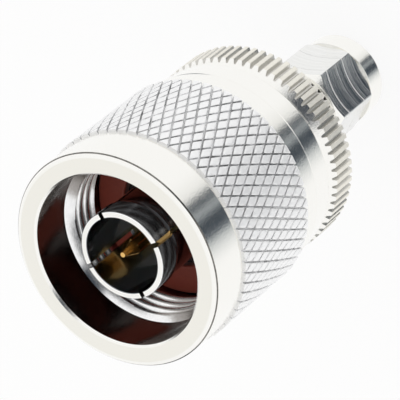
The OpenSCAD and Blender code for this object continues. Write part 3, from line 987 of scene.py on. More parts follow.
@dataclass
class TypeNNut:
    """The type N coupling nut: turned, knurled and threaded inside. Sizes in mm."""

    band_d: float = 20.5
    band_length: float = 4.3
    rear_band_d: float = 20.0
    knurl_end: float = 15.3
    knurl_d: float = 21.0
    knurl_depth: float = 0.32
    knurl_runout: float = 0.12
    length: float = 20.6
    mouth_d: float = 16.4
    mouth_depth: float = 4.5
    mouth_bevel: float = 0.2
    mouth_bevel_rise: float = 0.22
    thread_d: float = 14.9
    thread_depth: float = 0.42
    thread_pitch: float = 25.4 / 24
    thread_turn: float = 0.5
    thread_end: float = 8.2
    relief_d: float = 16.2
    lip_depth: float = 13.95
    rear_bore_d: float = 14.86
    rear_bevel: float = 0.2
    face_bevel: float = 0.45
    face_slope: float = 0.4
    shade_line_width: float = 0.1
    edge_break: float = 0.15

    # The rear taper: where it starts, how far it drops, how far its foot stays off the rear face
    taper_start: float = 17.6
    taper_drop: float = 0.22
    taper_foot: float = 0.5
    rear_edge_d: float = 18.2

    # The fine scored line just before it, as depths and as heights against its start
    score_depth: float = 0.05
    score_far_depth: float = 0.01
    score_high: float = 0.1
    score_floor: float = 0.02
    score_low: float = 0.06

    def build(self) -> bpy.types.Object:
        """Builds the nut and lets it ride on its body.

        Returns:
            The nut.
        """
        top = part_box("n_coupling_nut")[1].z / MM
        draft = Draft(Metals.BRIGHT, segments=372)
        mouth, crest, relief = self.mouth_d / 2, self.thread_d / 2, self.relief_d / 2
        root = self.knurl_d / 2 - self.knurl_depth
        knurl_high = top - self.band_length - self.knurl_runout
        knurl_low = top - self.knurl_end + self.knurl_runout
        thread_high = top - self.mouth_depth
        thread_low = top - self.thread_end - (relief - crest)
        draft.turn(self._front(top, thread_high, root, knurl_high), closed=False)
        DiamondKnurl(knurl_low, knurl_high, self.knurl_d / 2, self.knurl_depth).cut(draft)
        draft.turn(self._rear(top, thread_low, root, knurl_low), closed=False)
        ThreadCut(
            crest,
            self.thread_depth,
            self.thread_pitch,
            thread_low,
            thread_high,
            relief,
            mouth,
            self.thread_turn,
        ).cut(draft)
        nut = draft.make("coupling_nut_n")
        place_piece(nut, "n_nut", "n_coupling_nut")
        return nut

    def _front(self, top: float, thread_high: float, root: float, knurl_high: float) -> list[Corner]:
        """Gives the section from the thread out over the mouth and the front band to the knurl.

        Args:
            top: height of the mouth face.
            thread_high: upper end of the thread.
            root: radius of the floor of the knurl.
            knurl_high: upper end of the knurl.

        Returns:
            The corners.
        """
        mouth, band = self.mouth_d / 2, self.band_d / 2
        shoulder = top - self.face_bevel * self.face_slope
        band_end = top - self.band_length
        return [
            # The bored wall of the mouth, darkened with painted shade
            Corner(mouth, thread_high, finish=Metals.LEAD_IN_PAINTED_SHADE),
            Corner(mouth, top - self.mouth_bevel_rise, round=0.05),
            Corner(mouth + self.mouth_bevel, top, round=0.05),
            Corner(band - self.face_bevel, top, round=0.05),
            # A thin line of painted shade along the outer front corner
            Corner(band - self.shade_line_width, shoulder, round=0.02, finish=Metals.PAINTED_SHADE_LINE),
            Corner(band, shoulder - self.shade_line_width, round=0.02),
            Corner(band, band_end + self.edge_break, round=0.1),
            Corner(band - self.edge_break, band_end, round=0.03),
            Corner(root, band_end),
            Corner(root, knurl_high),
        ]

    def _rear(self, top: float, thread_low: float, root: float, knurl_low: float) -> list[Corner]:
        """Gives the section from the knurl over the rear band and the rear face to the thread.

        Args:
            top: height of the mouth face.
            thread_low: lower end of the thread.
            root: radius of the floor of the knurl.
            knurl_low: lower end of the knurl.

        Returns:
            The corners.
        """
        rear, bore, relief = self.rear_band_d / 2, self.rear_bore_d / 2, self.relief_d / 2
        band_start, taper, foot = top - self.knurl_end, top - self.taper_start, top - self.length
        lip = top - self.lip_depth
        return [
            Corner(root, knurl_low),
            Corner(root, band_start),
            Corner(rear - self.edge_break, band_start, round=0.03),
            Corner(rear, band_start - self.edge_break, round=0.1),
            Corner(rear, taper + self.score_high),
            Corner(rear - self.score_depth, taper + self.score_floor, round=0.03),
            Corner(rear - self.score_far_depth, taper - self.score_low, round=0.05),
            Corner(rear - self.taper_drop, foot + self.taper_foot, round=0.2),
            Corner(self.rear_edge_d / 2, foot, round=0.03),
            Corner(bore + self.rear_bevel, foot, round=0.05, finish=Metals.THREAD),
            Corner(bore, foot + self.rear_bevel, finish=Metals.THREAD),
            Corner(bore, lip, finish=Metals.THREAD),
            Corner(relief, lip, round=0.1, finish=Metals.THREAD),
            Corner(relief, thread_low, finish=Metals.THREAD),
        ]


@dataclass
class ContactSleeve:
    """The type N outer contact: slotted sleeve, flange and journal in one turned piece. Sizes in mm."""

    recess: float = 1.1
    sleeve_d: float = 8.38
    sleeve_bore: float = 7.26
    band_length: float = 2.2
    waist_d: float = 8.04
    waist_slope: float = 3.0
    slot_width: float = 0.45
    slot_length: float = 6.8
    slots: int = 4
    slot_turn: float = math.radians(15)
    flange_depth: float = 10.3
    journal_d: float = 14.7
    groove_d: float = 13.1
    groove_depth: float = 13.0
    groove_width: float = 0.9
    socket_d: float = 11.24
    pocket_d: float = 9.04
    pocket_low: float = 3.8
    pocket_high: float = 8.8
    slot_cells: int = 2
    cell_steps: int = 40

    def slot_half_angle(self, r: float) -> float:
        """Half the angle that a slot with parallel sides takes at a radius."""
        return math.asin(min(1.0, self.slot_width / 2 / r))

    def angles(self, r: float) -> list[float]:
        """Gives the angles of the cells at a radius, with two cells in each slot.

        Args:
            r: the radius in mm.

        Returns:
            The angles, ending one full turn after the first.
        """
        half = self.slot_half_angle(r)
        step = FULL_TURN / self.slots
        width = step - 2 * half
        found = []
        for k in range(self.slots):
            centre = self.slot_turn + k * step
            found += [centre - half, centre]
            found += [centre + half + width * i / self.cell_steps for i in range(self.cell_steps)]
        return found + [found[0] + FULL_TURN]

    def build(self) -> bpy.types.Object:
        """Builds the sleeve with its slots and lets it ride on the body.

        Returns:
            The sleeve.
        """
        low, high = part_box("n_outer_contact")
        tip, bottom = high.z / MM, low.z / MM
        floor = tip - self.slot_length
        corners = self._section(tip, bottom, floor)
        per_slot = self.cell_steps + self.slot_cells

        def in_slot(span: Span, cell: int) -> bool:
            """Whether a cell of a stretch lies in a slot."""
            above = min(span.start[1], span.end[1]) >= floor - SAME_PLACE
            return above and cell % per_slot < self.slot_cells

        draft = Draft(Metals.POLISHED)
        draft.turn(corners, angles=self.angles, skip=in_slot)
        self._slot_faces(draft, corners, floor)
        contact = draft.make("outer_contact_n")
        place_piece(contact, "body", "n_outer_contact")
        return contact

    def _section(self, tip: float, bottom: float, floor: float) -> list[Corner]:
        """Gives the whole section, from the bore over the tip, the flange and the journal.

        Args:
            tip: height of the tip of the sleeve.
            bottom: height of the lower end of the journal.
            floor: height of the floor of the slots.

        Returns:
            The corners.
        """
        mouth = tip + self.recess
        flange, groove_top = mouth - self.flange_depth, mouth - self.groove_depth
        sleeve, bore, waist = self.sleeve_d / 2, self.sleeve_bore / 2, self.waist_d / 2
        journal, groove = self.journal_d / 2, self.groove_d / 2
        socket, pocket = self.socket_d / 2, self.pocket_d / 2
        band_end = tip - self.band_length
        pocket_low, pocket_high = bottom + self.pocket_low, bottom + self.pocket_high
        return [
            # The bore and the outside of the sleeve are darkened with painted shade
            Corner(bore, pocket_high, finish=Metals.SLEEVE_BORE_PAINTED_SHADE),
            Corner(bore, floor, finish=Metals.SLEEVE_BORE_PAINTED_SHADE),
            Corner(bore, tip, round=0.06),
            Corner(sleeve, tip, round=0.09, finish=Metals.SLEEVE_PAINTED_SHADE),
            Corner(sleeve, band_end, finish=Metals.SLEEVE_PAINTED_SHADE),
            Corner(waist, band_end - self.waist_slope * (sleeve - waist), finish=Metals.SLEEVE_PAINTED_SHADE),
            Corner(waist, floor, finish=Metals.SLEEVE_PAINTED_SHADE),
            Corner(waist, flange, round=0.05, finish=Metals.SLEEVE_PAINTED_SHADE),
            Corner(journal, flange, round=0.08),
            Corner(journal, groove_top),
            Corner(groove, groove_top),
            Corner(groove, groove_top - self.groove_width),
            Corner(journal, groove_top - self.groove_width),
            Corner(journal, bottom),
            Corner(socket, bottom),
            Corner(socket, pocket_low),
            Corner(pocket, pocket_low),
            Corner(pocket, pocket_high),
        ]

    def _slot_faces(self, draft: Draft, corners: list[Corner], floor: float) -> None:
        """Adds the two sides and the floor of each slot.

        Args:
            draft: the piece that takes them.
            corners: the section of the sleeve.
            floor: height of the floor of the slots.
        """
        sleeve, bore, waist = self.sleeve_d / 2, self.sleeve_bore / 2, self.waist_d / 2
        per_slot = self.cell_steps + self.slot_cells
        wall = [
            (r, z)
            for r, z in (span.start for span in section_spans(corners, True))
            if z >= floor - SAME_PLACE and r < sleeve + SAME_PLACE
        ]
        wall = [
            (r, z)
            for r, z in wall
            if z > floor + SAME_PLACE or min(abs(r - bore), abs(r - waist)) < SAME_PLACE
        ]
        for k in range(self.slots):
            centre = self.slot_turn + k * FULL_TURN / self.slots
            for side in (-1, 1):
                side_points = [polar(r, centre + side * self.slot_half_angle(r), z) for r, z in wall]
                across = (side * math.sin(centre), -side * math.cos(centre), 0.0)
                # The sides of the slots are darkened with painted shade, like the outside
                draft.face(side_points, across, finish=Metals.SLEEVE_PAINTED_SHADE)
            first = per_slot * k
            inner, outer = (
                [polar(r, angle, floor) for angle in self.angles(r)[first : first + self.slot_cells + 1]]
                for r in (bore, waist)
            )
            draft.bridge(inner, outer, upward)


@dataclass
class TurnedPiece:
    """A plainly turned piece of the body.

    Attributes:
        name: name of the piece.
        node: the CAD node that it stands for.
        slot: a material slot name, which is not used.
        finish: its finish.
        corners: its section.
        segments: faces round the axis.
    """

    name: str
    node: str
    slot: str
    finish: Finish
    corners: list[Corner]
    segments: int = 128

    def build(self) -> bpy.types.Object:
        """Builds the piece and lets it ride on the body.

        Returns:
            The piece.
        """
        draft = Draft(self.finish, self.segments)
        draft.turn(self.corners)
        made = draft.make(self.name)
        place_piece(made, "body", self.node)
        return made


@dataclass
class Contacts:
    """The pins, insulators and seals of both ends. Sizes in mm."""

    clearance: float = 0.02
    n_seal_bore_d: float = 10.2
    n_pin_d: float = 1.6
    n_pin_tip_d: float = 0.45
    n_pin_length: float = 5.4
    n_tip_slope: float = 2.6
    n_shank_d: float = 3.04
    n_collar_d: float = 3.8
    n_collar_t: float = 0.8
    n_socket_depth: float = 3.0
    tail_d: float = 0.9
    sma_pin_d: float = 0.92
    sma_pin_tip_share: int = 3
    sma_tip_slope: float = 1.6
    sma_shank_d: float = 1.27
    sma_seal_bore_d: float = 4.64

    def build(self) -> None:
        """Builds every plainly turned piece."""
        for piece in (
            self._n_seal(),
            self._n_pin(),
            self._n_insulator(),
            self._sma_insulator(),
            self._sma_pin(),
            self._sma_seal(),
        ):
            piece.build()

    @staticmethod
    def _heights(node: str) -> tuple[float, float, float]:
        """Lower end, upper end and outer radius of a CAD node in mm."""
        low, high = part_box(node)
        return low.z / MM, high.z / MM, high.x / MM

    def _n_seal(self) -> TurnedPiece:
        """Gives the flat silicone seal of the type N end.

        Returns:
            The seal, still to be built.
        """
        low, high, outer = self._heights("n_seal")
        inner = self.n_seal_bore_d / 2
        corners = [
            Corner(inner, high, round=0.2),
            Corner(outer, high, round=0.25),
            Corner(outer, low, round=0.1),
            Corner(inner, low, round=0.1),
        ]
        return TurnedPiece("seal_n", "n_seal", "silicone", Softs.SILICONE, corners)

    def _n_pin(self) -> TurnedPiece:
        """Gives the type N pin with its shank, collar and socket.

        Returns:
            The pin, still to be built.
        """
        low, high, _ = self._heights("n_pin")
        pin, tip, shank = self.n_pin_d / 2, self.n_pin_tip_d / 2, self.n_shank_d / 2
        collar, socket = self.n_collar_d / 2, self.tail_d / 2 + self.clearance
        shoulder, collar_top = high - self.n_pin_length, low + self.n_collar_t
        corners = [
            Corner(0, high),
            Corner(tip, high, round=0.1),
            Corner(pin, high - self.n_tip_slope * (pin - tip), round=0.3),
            Corner(pin, shoulder, round=0.05),
            # The shank is painted paler gold, as painted light
            Corner(shank, shoulder, round=0.15, finish=Metals.GOLD_SHANK_PAINTED_LIGHT),
            Corner(shank, collar_top, finish=Metals.GOLD_SHANK_PAINTED_LIGHT),
            Corner(collar, collar_top, round=0.05),
            Corner(collar, low, round=0.05),
            Corner(socket, low),
            Corner(socket, low + self.n_socket_depth),
            Corner(0, low + self.n_socket_depth),
        ]
        return TurnedPiece("pin_n", "n_pin", "gold_plate", Metals.GOLD, corners)

    def _n_insulator(self) -> TurnedPiece:
        """Gives the fluoropolymer bead of the type N end.

        Returns:
            The bead, still to be built.
        """
        low, high, outer = self._heights("n_insulator")
        hole, collar = self.n_shank_d / 2 + self.clearance, self.n_collar_d / 2 + self.clearance
        corners = [
            Corner(hole, high),
            Corner(outer, high, round=0.1),
            Corner(outer, low),
            Corner(collar, low),
            Corner(collar, low + self.n_collar_t),
            Corner(hole, low + self.n_collar_t),
        ]
        return TurnedPiece("insulator_n", "n_insulator", "ptfe", Softs.PTFE, corners)

    def _sma_insulator(self) -> TurnedPiece:
        """Gives the long insulator of the SMA end.

        Returns:
            The insulator, still to be built.
        """
        low, high, outer = self._heights("sma_insulator")
        hole = self.sma_shank_d / 2 + self.clearance
        corners = [Corner(hole, high), Corner(outer, high), Corner(outer, low, round=0.05), Corner(hole, low)]
        return TurnedPiece("insulator_sma", "sma_insulator", "ptfe", Softs.PTFE, corners)

    def _sma_pin(self) -> TurnedPiece:
        """Gives the SMA pin with its shank and tail.

        Returns:
            The pin, still to be built.
        """
        low, high, _ = self._heights("sma_pin")
        pin, shank, tail = self.sma_pin_d / 2, self.sma_shank_d / 2, self.tail_d / 2
        tip = pin / self.sma_pin_tip_share
        face, shoulder, _ = self._heights("sma_insulator")
        corners = [
            Corner(0, high),
            Corner(tail, high, round=0.05),
            Corner(tail, shoulder),
            Corner(shank, shoulder),
            Corner(shank, face),
            Corner(pin, face),
            Corner(pin, low + self.sma_tip_slope * (pin - tip), round=0.15),
            Corner(tip, low, round=0.05),
            Corner(0, low),
        ]
        return TurnedPiece("pin_sma", "sma_pin", "gold_plate", Metals.GOLD, corners, segments=64)

    def _sma_seal(self) -> TurnedPiece:
        """Gives the silicone seal of the SMA end.

        Returns:
            The seal, still to be built.
        """
        low, high, outer = self._heights("sma_seal")
        inner = self.sma_seal_bore_d / 2
        corners = [
            Corner(inner, high),
            Corner(outer, high, round=0.05),
            Corner(outer, low, round=0.12),
            Corner(inner, low, round=0.1),
        ]
        return TurnedPiece("seal_sma", "sma_seal", "silicone", Softs.SILICONE, corners)


@dataclass
class ToothedBody:
    """The body between the nuts: grip ring, neck, spigot and SMA outer contact. Sizes in mm."""

    ring_d: float = 19.8
    ring_width: float = 3.3
    tooth_depth: float = 0.36
    teeth: int = 72
    front_bevel: float = 0.6
    face_d: float = 18.0
    step_width: float = 0.16
    rear_land: float = 0.2
    neck_d: float = 7.8
    neck_low: float = 8.75
    neck_bevel: float = 0.5
    spigot_d: float = 11.2
    spigot_length: float = 3.8
    journal_d: float = 5.5
    groove_d: float = 4.8
    groove_low: float = 5.7
    groove_high: float = 6.3
    shoulder: float = 4.9
    tube_d: float = 4.6
    bore_d: float = 4.14

    # Share of the pitch and share of the groove's depth, over one tooth
    TOOTH = (
        (-0.5, 1.0), (-0.41, 1.0), (-0.38, 0.92), (-0.25, 0.1), (-0.22, 0.0),
        (0.0, 0.0), (0.22, 0.0), (0.25, 0.1), (0.38, 0.92), (0.41, 1.0),
    )
    # Share of that depth from which a face belongs to the groove, and gets its painted shade
    GROOVE_FROM = 0.1

    def build(self) -> bpy.types.Object:
        """Builds the toothed body and lets it ride on its body.

        Returns:
            The toothed body.
        """
        low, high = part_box("toothed_body")
        top, bottom = high.z / MM, low.z / MM
        ring_top = top - self.spigot_length
        ring_bottom = ring_top - self.ring_width
        draft = Draft(Metals.BRIGHT)
        self._teeth(draft, ring_top, ring_bottom)
        draft.turn(self._core(top, bottom, ring_top, ring_bottom), closed=False)
        body = draft.make("toothed_body_visual", sharp_degrees=25)
        place_piece(body, "body", "toothed_body")
        return body

    def _rear_r(self) -> float:
        """Outer radius of the plain rear face, inside the floors of the grooves."""
        return self.ring_d / 2 - self.tooth_depth - self.rear_land

    def _teeth(self, draft: Draft, top: float, bottom: float) -> None:
        """Adds the teeth with their bevelled front ends and the rims of both faces.

        Args:
            draft: the piece that takes them.
            top: height of the front face of the ring.
            bottom: height of its rear face.
        """
        pitch = FULL_TURN / self.teeth
        shape = [((i + share) * pitch, depth) for i in range(self.teeth) for share, depth in self.TOOTH]
        shape.append((shape[0][0] + FULL_TURN, shape[0][1]))
        draft.angles = [angle for angle, _ in shape]
        radii = [self.ring_d / 2 - self.tooth_depth * depth for _, depth in shape]
        # Faces in the grooves carry the painted shade of the grooves
        columns = [
            Metals.TOOTH_GROOVE_PAINTED_SHADE if min(a, b) >= self.GROOVE_FROM else Metals.TOOTH_CREST
            for (_, a), (_, b) in zip(shape, shape[1:])
        ]
        face = self.face_d / 2
        slope = self.front_bevel / (self.ring_d / 2 - face - self.step_width)
        inner, step, edge, foot, rear = (
            draft.ring(spots)
            for spots in (
                [(face, top)] * len(radii),
                [(face + self.step_width, top)] * len(radii),
                [(r, top - slope * (r - face - self.step_width)) for r in radii],
                [(r, bottom) for r in radii],
                [(self._rear_r(), bottom)] * len(radii),
            )
        )
        # The inner part of the ring's front face carries painted shade, next to the nut's rear edge
        draft.bridge(inner, step, upward, Metals.PAINTED_SHADE_LINE)
        draft.bridge(step, edge, upward)
        draft.bridge(edge, foot, outward, columns=columns)
        draft.bridge(foot, rear, downward)

    def _core(self, top: float, bottom: float, ring_top: float, ring_bottom: float) -> list[Corner]:
        """Gives the section from the rear face down over the journal and up the bore to the front.

        Args:
            top: height of the upper end of the spigot.
            bottom: height of the lower end of the outer contact.
            ring_top: height of the front face of the ring.
            ring_bottom: height of its rear face.

        Returns:
            The corners.
        """
        neck, bore, journal = self.neck_d / 2, self.bore_d / 2, self.journal_d / 2
        groove, spigot, tube = self.groove_d / 2, self.spigot_d / 2, self.tube_d / 2
        return [
            Corner(self._rear_r(), ring_bottom),
            Corner(neck, ring_bottom, round=0.2),
            Corner(neck, self.neck_low + self.neck_bevel, round=0.1),
            Corner(neck - self.neck_bevel, self.neck_low, round=0.1),
            Corner(journal, self.neck_low),
            Corner(journal, self.groove_high),
            Corner(groove, self.groove_high),
            Corner(groove, self.groove_low),
            Corner(journal, self.groove_low),
            Corner(journal, self.shoulder),
            Corner(tube, self.shoulder),
            Corner(tube, bottom, round=0.08),
            Corner(bore, bottom, round=0.05),
            Corner(bore, top),
            Corner(spigot, top, round=0.1),
            # The front face of the ring inside the step carries the same painted shade
            Corner(spigot, ring_top, finish=Metals.PAINTED_SHADE_LINE),
            Corner(self.face_d / 2, ring_top, finish=Metals.PAINTED_SHADE_LINE),
        ]


@dataclass
class SmaNut:
    """The SMA coupling nut: hexagon with bevelled corners, round collar and inside thread. Sizes in mm."""

    length: float = 8.5
    flats: float = 8.0
    turn: float = math.radians(48)
    bevel: float = math.tan(math.radians(40))
    corner_break: float = 0.04
    edge_break: float = 0.02
    collar_d: float = 8.5
    collar_length: float = 2.3
    mouth_d: float = 6.6
    mouth_depth: float = 0.8
    bore_bevel: float = 0.2
    thread_d: float = 5.7
    thread_depth: float = 0.33
    thread_pitch: float = 25.4 / 36
    thread_end: float = 4.4
    relief_d: float = 6.4
    lip: float = 6.3
    rear_bore_d: float = 5.66
    samples: int = 32

    def hex_radius(self, angle: float) -> float:
        """Gives the distance from the axis to the hexagon, with its corners broken.

        Args:
            angle: the angle round the axis.

        Returns:
            The distance in mm.
        """
        off = (angle - self.turn) % (FULL_TURN / 6) - FULL_TURN / 12
        corner = self.flats / 2 / math.cos(math.pi / 6)
        return min(self.flats / 2 / math.cos(off), corner - self.corner_break)

    def build(self) -> bpy.types.Object:
        """Builds the nut and lets it ride on its body.

        Returns:
            The nut.
        """
        draft = Draft(Metals.BRIGHT)
        count = 6 * self.samples
        draft.angles = [self.turn + FULL_TURN * i / count for i in range(count + 1)]
        mouth, crest, relief = self.mouth_d / 2, self.thread_d / 2, self.relief_d / 2
        inside = self.flats / 2 - self.edge_break
        thread_high = self.thread_end + relief - crest
        self._hexagon(draft, inside)
        draft.turn(self._collar(mouth, inside), closed=False)
        ThreadCut(
            crest, self.thread_depth, self.thread_pitch, self.mouth_depth, thread_high, mouth, relief
        ).cut(draft)
        draft.turn(self._rear(relief, thread_high, inside), closed=False)
        nut = draft.make("coupling_nut_sma", sharp_degrees=20)
        place_piece(nut, "sma_nut", "sma_coupling_nut")
        return nut

    def _hexagon(self, draft: Draft, inside: float) -> None:
        """Adds the milled flats between the arcs that both end bevels cut into them.

        Args:
            draft: the piece that takes them.
            inside: radius at which both bevels start.
        """
        flat = self.flats / 2
        radii = [self.hex_radius(angle) for angle in draft.angles]
        rear, high, low, front = (
            draft.ring(spots)
            for spots in (
                [(inside, self.length)] * len(radii),
                [(r, self.length - self.edge_break - self.bevel * (r - flat)) for r in radii],
                [(r, self.collar_length + self.bevel * (r - flat)) for r in radii],
                [(inside, self.collar_length)] * len(radii),
            )
        )
        draft.bridge(rear, high, outward)
        draft.bridge(high, low, outward, Metals.MILLED)
        draft.bridge(low, front, outward)

    def _collar(self, mouth: float, inside: float) -> list[Corner]:
        """Gives the section of the round collar, from the hexagon to the thread.

        Args:
            mouth: radius of the mouth.
            inside: radius at which the bevel of the hexagon starts.

        Returns:
            The corners.
        """
        collar = self.collar_d / 2
        return [
            Corner(inside, self.collar_length),
            Corner(collar, self.collar_length, round=0.05),
            Corner(collar, 0.0, round=0.3),
            Corner(mouth + self.bore_bevel, 0.0, round=0.05),
            Corner(mouth, self.bore_bevel, round=0.05, finish=Metals.THREAD),
            Corner(mouth, self.mouth_depth, finish=Metals.THREAD),
        ]

    def _rear(self, relief: float, thread_high: float, inside: float) -> list[Corner]:
        """Gives the section from the thread over the relief and the lip to the hexagon.

        Args:
            relief: radius of the relief.
            thread_high: upper end of the thread.
            inside: radius at which the bevel of the hexagon starts.

        Returns:
            The corners.
        """
        bore = self.rear_bore_d / 2
        return [
            Corner(relief, thread_high, finish=Metals.THREAD),
            Corner(relief, self.lip, finish=Metals.THREAD),
            Corner(bore, self.lip, finish=Metals.THREAD),
            Corner(bore, self.length - self.bore_bevel),
            Corner(bore + self.bore_bevel, self.length),
            Corner(inside, self.length),
        ]


@dataclass
class SplitRings:
    """The two hidden split rings that hold the nuts, which keep their CAD form."""

    nodes: tuple[str, ...] = ("n_split_ring", "sma_split_ring")

    def dress(self) -> None:
        """Gives both rings their finish."""
        for node in self.nodes:
            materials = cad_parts[node].data.materials
            materials.clear()
            materials.append(Metals.BRIGHT.build())
            LOG.info("%s keeps its CAD form", node)


@dataclass(frozen=True)
class Spot:
    """A round area of the surroundings that metal mirrors but the camera doesn't see.

    Attributes:
        azimuth: direction round the vertical, in degrees.
        elevation: height above the horizon, in degrees.
        core: half-width of its full colour, in degrees.
        reach: half-width at which it has faded, in degrees.
        colour: sRGB hex.
    """

    azimuth: float
    elevation: float
    core: float
    reach: float
    colour: str

    def toward(self) -> Point:
        """Unit vector towards the middle of the area."""
        around, up = math.radians(self.azimuth), math.radians(self.elevation)
        return polar(math.cos(up), around, math.sin(up))


@dataclass
class Studio:
    """Pale floor, soft white surroundings, dark areas for the metal to mirror, and the camera.

    Lengths are in mm, except the reach of the floor and the clip distances in metres.
    """

    floor_reach: float = 1.2
    # Share of its own white that the floor shows to the camera, which leaves a faint shadow on it
    floor_glow: float = 0.8
    flag_azimuth: float = math.radians(188)
    flag_reach: float = math.radians(45)
    flag_top: float = math.radians(-33)
    flag_foot: float = math.radians(-82)
    # How far past its top and its foot the flag starts and ends to fade, along a unit vector's height
    flag_top_fade: Flat = (0.05, -0.1)
    flag_foot_fade: Flat = (-0.02, 0.03)
    aim_side: Flat = (-0.28, 0.47)
    aim_height: float = 26.8
    camera_azimuth: float = math.radians(-148.853)
    camera_elevation: float = math.radians(47.624)
    camera_roll: float = math.radians(-129.287)
    camera_distance: float = 303.03
    lens: float = 306.0
    sensor: float = 36.0
    clip: Flat = (0.01, 10.0)

    SPOTS = (
        # The camera itself, which the bevels that face it mirror
        Spot(-149, 48, 9, 20, "#343B44"),
        # The grey wall behind the part
        Spot(31, 48, 16, 34, "#F5F4F0"),
        # Three stands low at the sides, which draw the dark streaks on the metal from level sides
        *(Spot(azimuth, -8, 6, 18, "#4A525B") for azimuth in (188, 308, 68)),
    )
    # Brightness across the flag, by its share from one edge to the other
    FLAG = (
        (0.0, WHITE), (0.14, "#E6E8E8"), (0.26, "#B4B9BB"), (0.29, "#59616A"),
        (0.36, "#3A424B"), (0.49, "#333B44"), (0.54, "#9BA1A5"), (0.59, "#A8ADAF"),
        (0.64, "#3E464F"), (0.71, "#39414A"), (0.77, "#F0F0EE"), (1.0, WHITE),
    )

    def build(self) -> None:
        """Builds the floor, the surroundings and the camera."""
        self._floor()
        self._world()
        self._camera()

    def _floor(self) -> None:
        """Builds a wide pale floor that keeps a soft shadow and that metal doesn't mirror."""
        mesh = bpy.data.meshes.new("floor")
        work = bmesh.new()
        bmesh.ops.create_grid(work, x_segments=4, y_segments=4, size=self.floor_reach)
        work.to_mesh(mesh)
        work.free()
        floor = bpy.data.objects.new("floor", mesh)
        bpy.context.scene.collection.objects.link(floor)
        floor.visible_glossy = False
        material = bpy.data.materials.new("floor_white_card")
        tree = blank_tree(material)
        path = add_node(tree, "ShaderNodeLightPath", {})
        card = add_node(tree, "ShaderNodeBsdfDiffuse", {"Color": linear(WHITE)})
        glow = add_node(tree, "ShaderNodeEmission", {"Color": linear(WHITE), "Strength": 1.0})
        mixed = add_node(
            tree, "ShaderNodeMixShader", {0: self.floor_glow, 1: card.outputs[0], 2: glow.outputs[0]}
        )
        seen = add_node(
            tree,
            "ShaderNodeMixShader",
            {0: path.outputs["Is Camera Ray"], 1: card.outputs[0], 2: mixed.outputs[0]},
        )
        add_node(tree, "ShaderNodeOutputMaterial", {"Surface": seen.outputs[0]})
        mesh.materials.append(material)

    def _world(self) -> None:
        """Builds white surroundings with the dark flag and the spots, hidden from the camera."""
        world = bpy.data.worlds.new("studio")
        bpy.context.scene.world = world
        tree = blank_tree(world)
        look = add_node(tree, "ShaderNodeTexCoord", {}).outputs["Generated"]
        path = add_node(tree, "ShaderNodeLightPath", {})
        hidden = add_node(
            tree, "ShaderNodeMath", {0: 1.0, 1: path.outputs["Is Camera Ray"]}, operation="SUBTRACT"
        ).outputs[0]
        colour = self._flag(tree, look, hidden)
        for spot in self.SPOTS:
            colour = self._spot(tree, look, hidden, spot, colour)
        sky = add_node(tree, "ShaderNodeBackground", {"Color": colour, "Strength": 1.0})
        add_node(tree, "ShaderNodeOutputWorld", {"Surface": sky.outputs[0]})

    def _flag(
        self, tree: bpy.types.NodeTree, look: bpy.types.NodeSocket, hidden: bpy.types.NodeSocket
    ) -> bpy.types.NodeSocket:
        """Draws the dark flag below the horizon, which gives the metal its dark streak.

        Args:
            tree: the node tree of the world.
            look: the direction looked in.
            hidden: 1 for every ray but the camera's.

        Returns:
            The colour of white surroundings with the flag.
        """
        turned = add_node(
            tree,
            "ShaderNodeVectorRotate",
            {"Vector": look, "Angle": -self.flag_azimuth},
            rotation_type="Z_AXIS",
        )
        apart = add_node(tree, "ShaderNodeSeparateXYZ", {"Vector": turned.outputs[0]})
        azimuth = add_node(
            tree, "ShaderNodeMath", {0: apart.outputs[1], 1: apart.outputs[0]}, operation="ARCTAN2"
        )
        across = add_node(
            tree,
            "ShaderNodeMapRange",
            {"Value": azimuth.outputs[0], "From Min": -self.flag_reach, "From Max": self.flag_reach},
        )
        ramp = add_node(tree, "ShaderNodeValToRGB", {"Fac": across.outputs[0]})
        stops = ramp.color_ramp.elements
        for number, (share, colour) in enumerate(self.FLAG):
            stop = stops[number] if number < 2 else stops.new(share)
            stop.position, stop.color = share, linear(colour)
        shown = hidden
        for edge, fade in ((self.flag_top, self.flag_top_fade), (self.flag_foot, self.flag_foot_fade)):
            inside = add_node(
                tree,
                "ShaderNodeMapRange",
                {
                    "Value": apart.outputs[2],
                    "From Min": math.sin(edge) + fade[0],
                    "From Max": math.sin(edge) + fade[1],
                },
                interpolation_type="SMOOTHSTEP",
            )
            shown = add_node(
                tree, "ShaderNodeMath", {0: shown, 1: inside.outputs[0]}, operation="MULTIPLY"
            ).outputs[0]
        mixed = add_node(
            tree, "ShaderNodeMixRGB", {0: shown, 1: linear(WHITE), 2: ramp.outputs["Color"]}
        )
        return mixed.outputs[0]

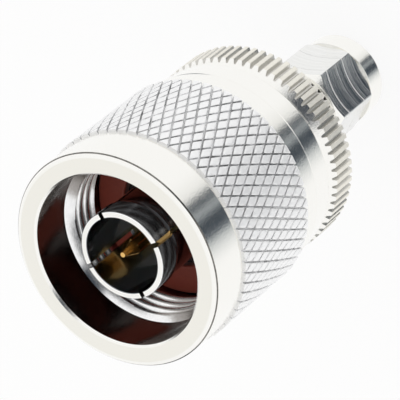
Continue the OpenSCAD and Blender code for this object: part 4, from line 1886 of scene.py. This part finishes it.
    @staticmethod
    def _spot(
        tree: bpy.types.NodeTree,
        look: bpy.types.NodeSocket,
        hidden: bpy.types.NodeSocket,
        spot: Spot,
        around: bpy.types.NodeSocket,
    ) -> bpy.types.NodeSocket:
        """Draws one round area over the surroundings.

        Args:
            tree: the node tree of the world.
            look: the direction looked in.
            hidden: 1 for every ray but the camera's.
            spot: the area.
            around: the colour of the surroundings so far.

        Returns:
            The colour with the area in it.
        """
        facing = add_node(tree, "ShaderNodeVectorMath", {0: look, 1: spot.toward()}, operation="DOT_PRODUCT")
        share = add_node(
            tree,
            "ShaderNodeMapRange",
            {
                "Value": facing.outputs["Value"],
                "From Min": math.cos(math.radians(spot.reach)),
                "From Max": math.cos(math.radians(spot.core)),
            },
            interpolation_type="SMOOTHSTEP",
        )
        shown = add_node(tree, "ShaderNodeMath", {0: share.outputs[0], 1: hidden}, operation="MULTIPLY")
        mixed = add_node(
            tree, "ShaderNodeMixRGB", {0: shown.outputs[0], 1: around, 2: linear(spot.colour)}
        )
        return mixed.outputs[0]

    def _camera(self) -> None:
        """Builds the camera: a long lens that looks down into the type N mouth."""
        camera = bpy.data.objects.new("camera", bpy.data.cameras.new("camera"))
        bpy.context.scene.collection.objects.link(camera)
        camera.data.lens = self.lens
        camera.data.sensor_width = self.sensor
        camera.data.clip_start, camera.data.clip_end = self.clip
        around, up = self.camera_azimuth, self.camera_elevation
        back = Vector(polar(math.cos(up), around, math.sin(up)))
        aim = Vector((*self.aim_side, self.aim_height)) * MM
        right = (-back).cross(Vector((0, 0, 1))).normalized()
        top = right.cross(-back)
        c, s = math.cos(self.camera_roll), math.sin(self.camera_roll)
        right, top = right * c + top * s, top * c - right * s
        turn = Matrix((right, top, back)).transposed().to_4x4()
        camera.matrix_world = Matrix.Translation(aim + back * self.camera_distance * MM) @ turn
        bpy.context.scene.camera = camera


def main() -> None:
    """Builds every piece in order, then the studio."""
    TypeNNut().build()
    ContactSleeve().build()
    Contacts().build()
    ToothedBody().build()
    SmaNut().build()
    SplitRings().dress()
    Studio().build()
    bpy.context.scene.view_settings.view_transform = "Standard"


if __name__ == "__main__":
    main()
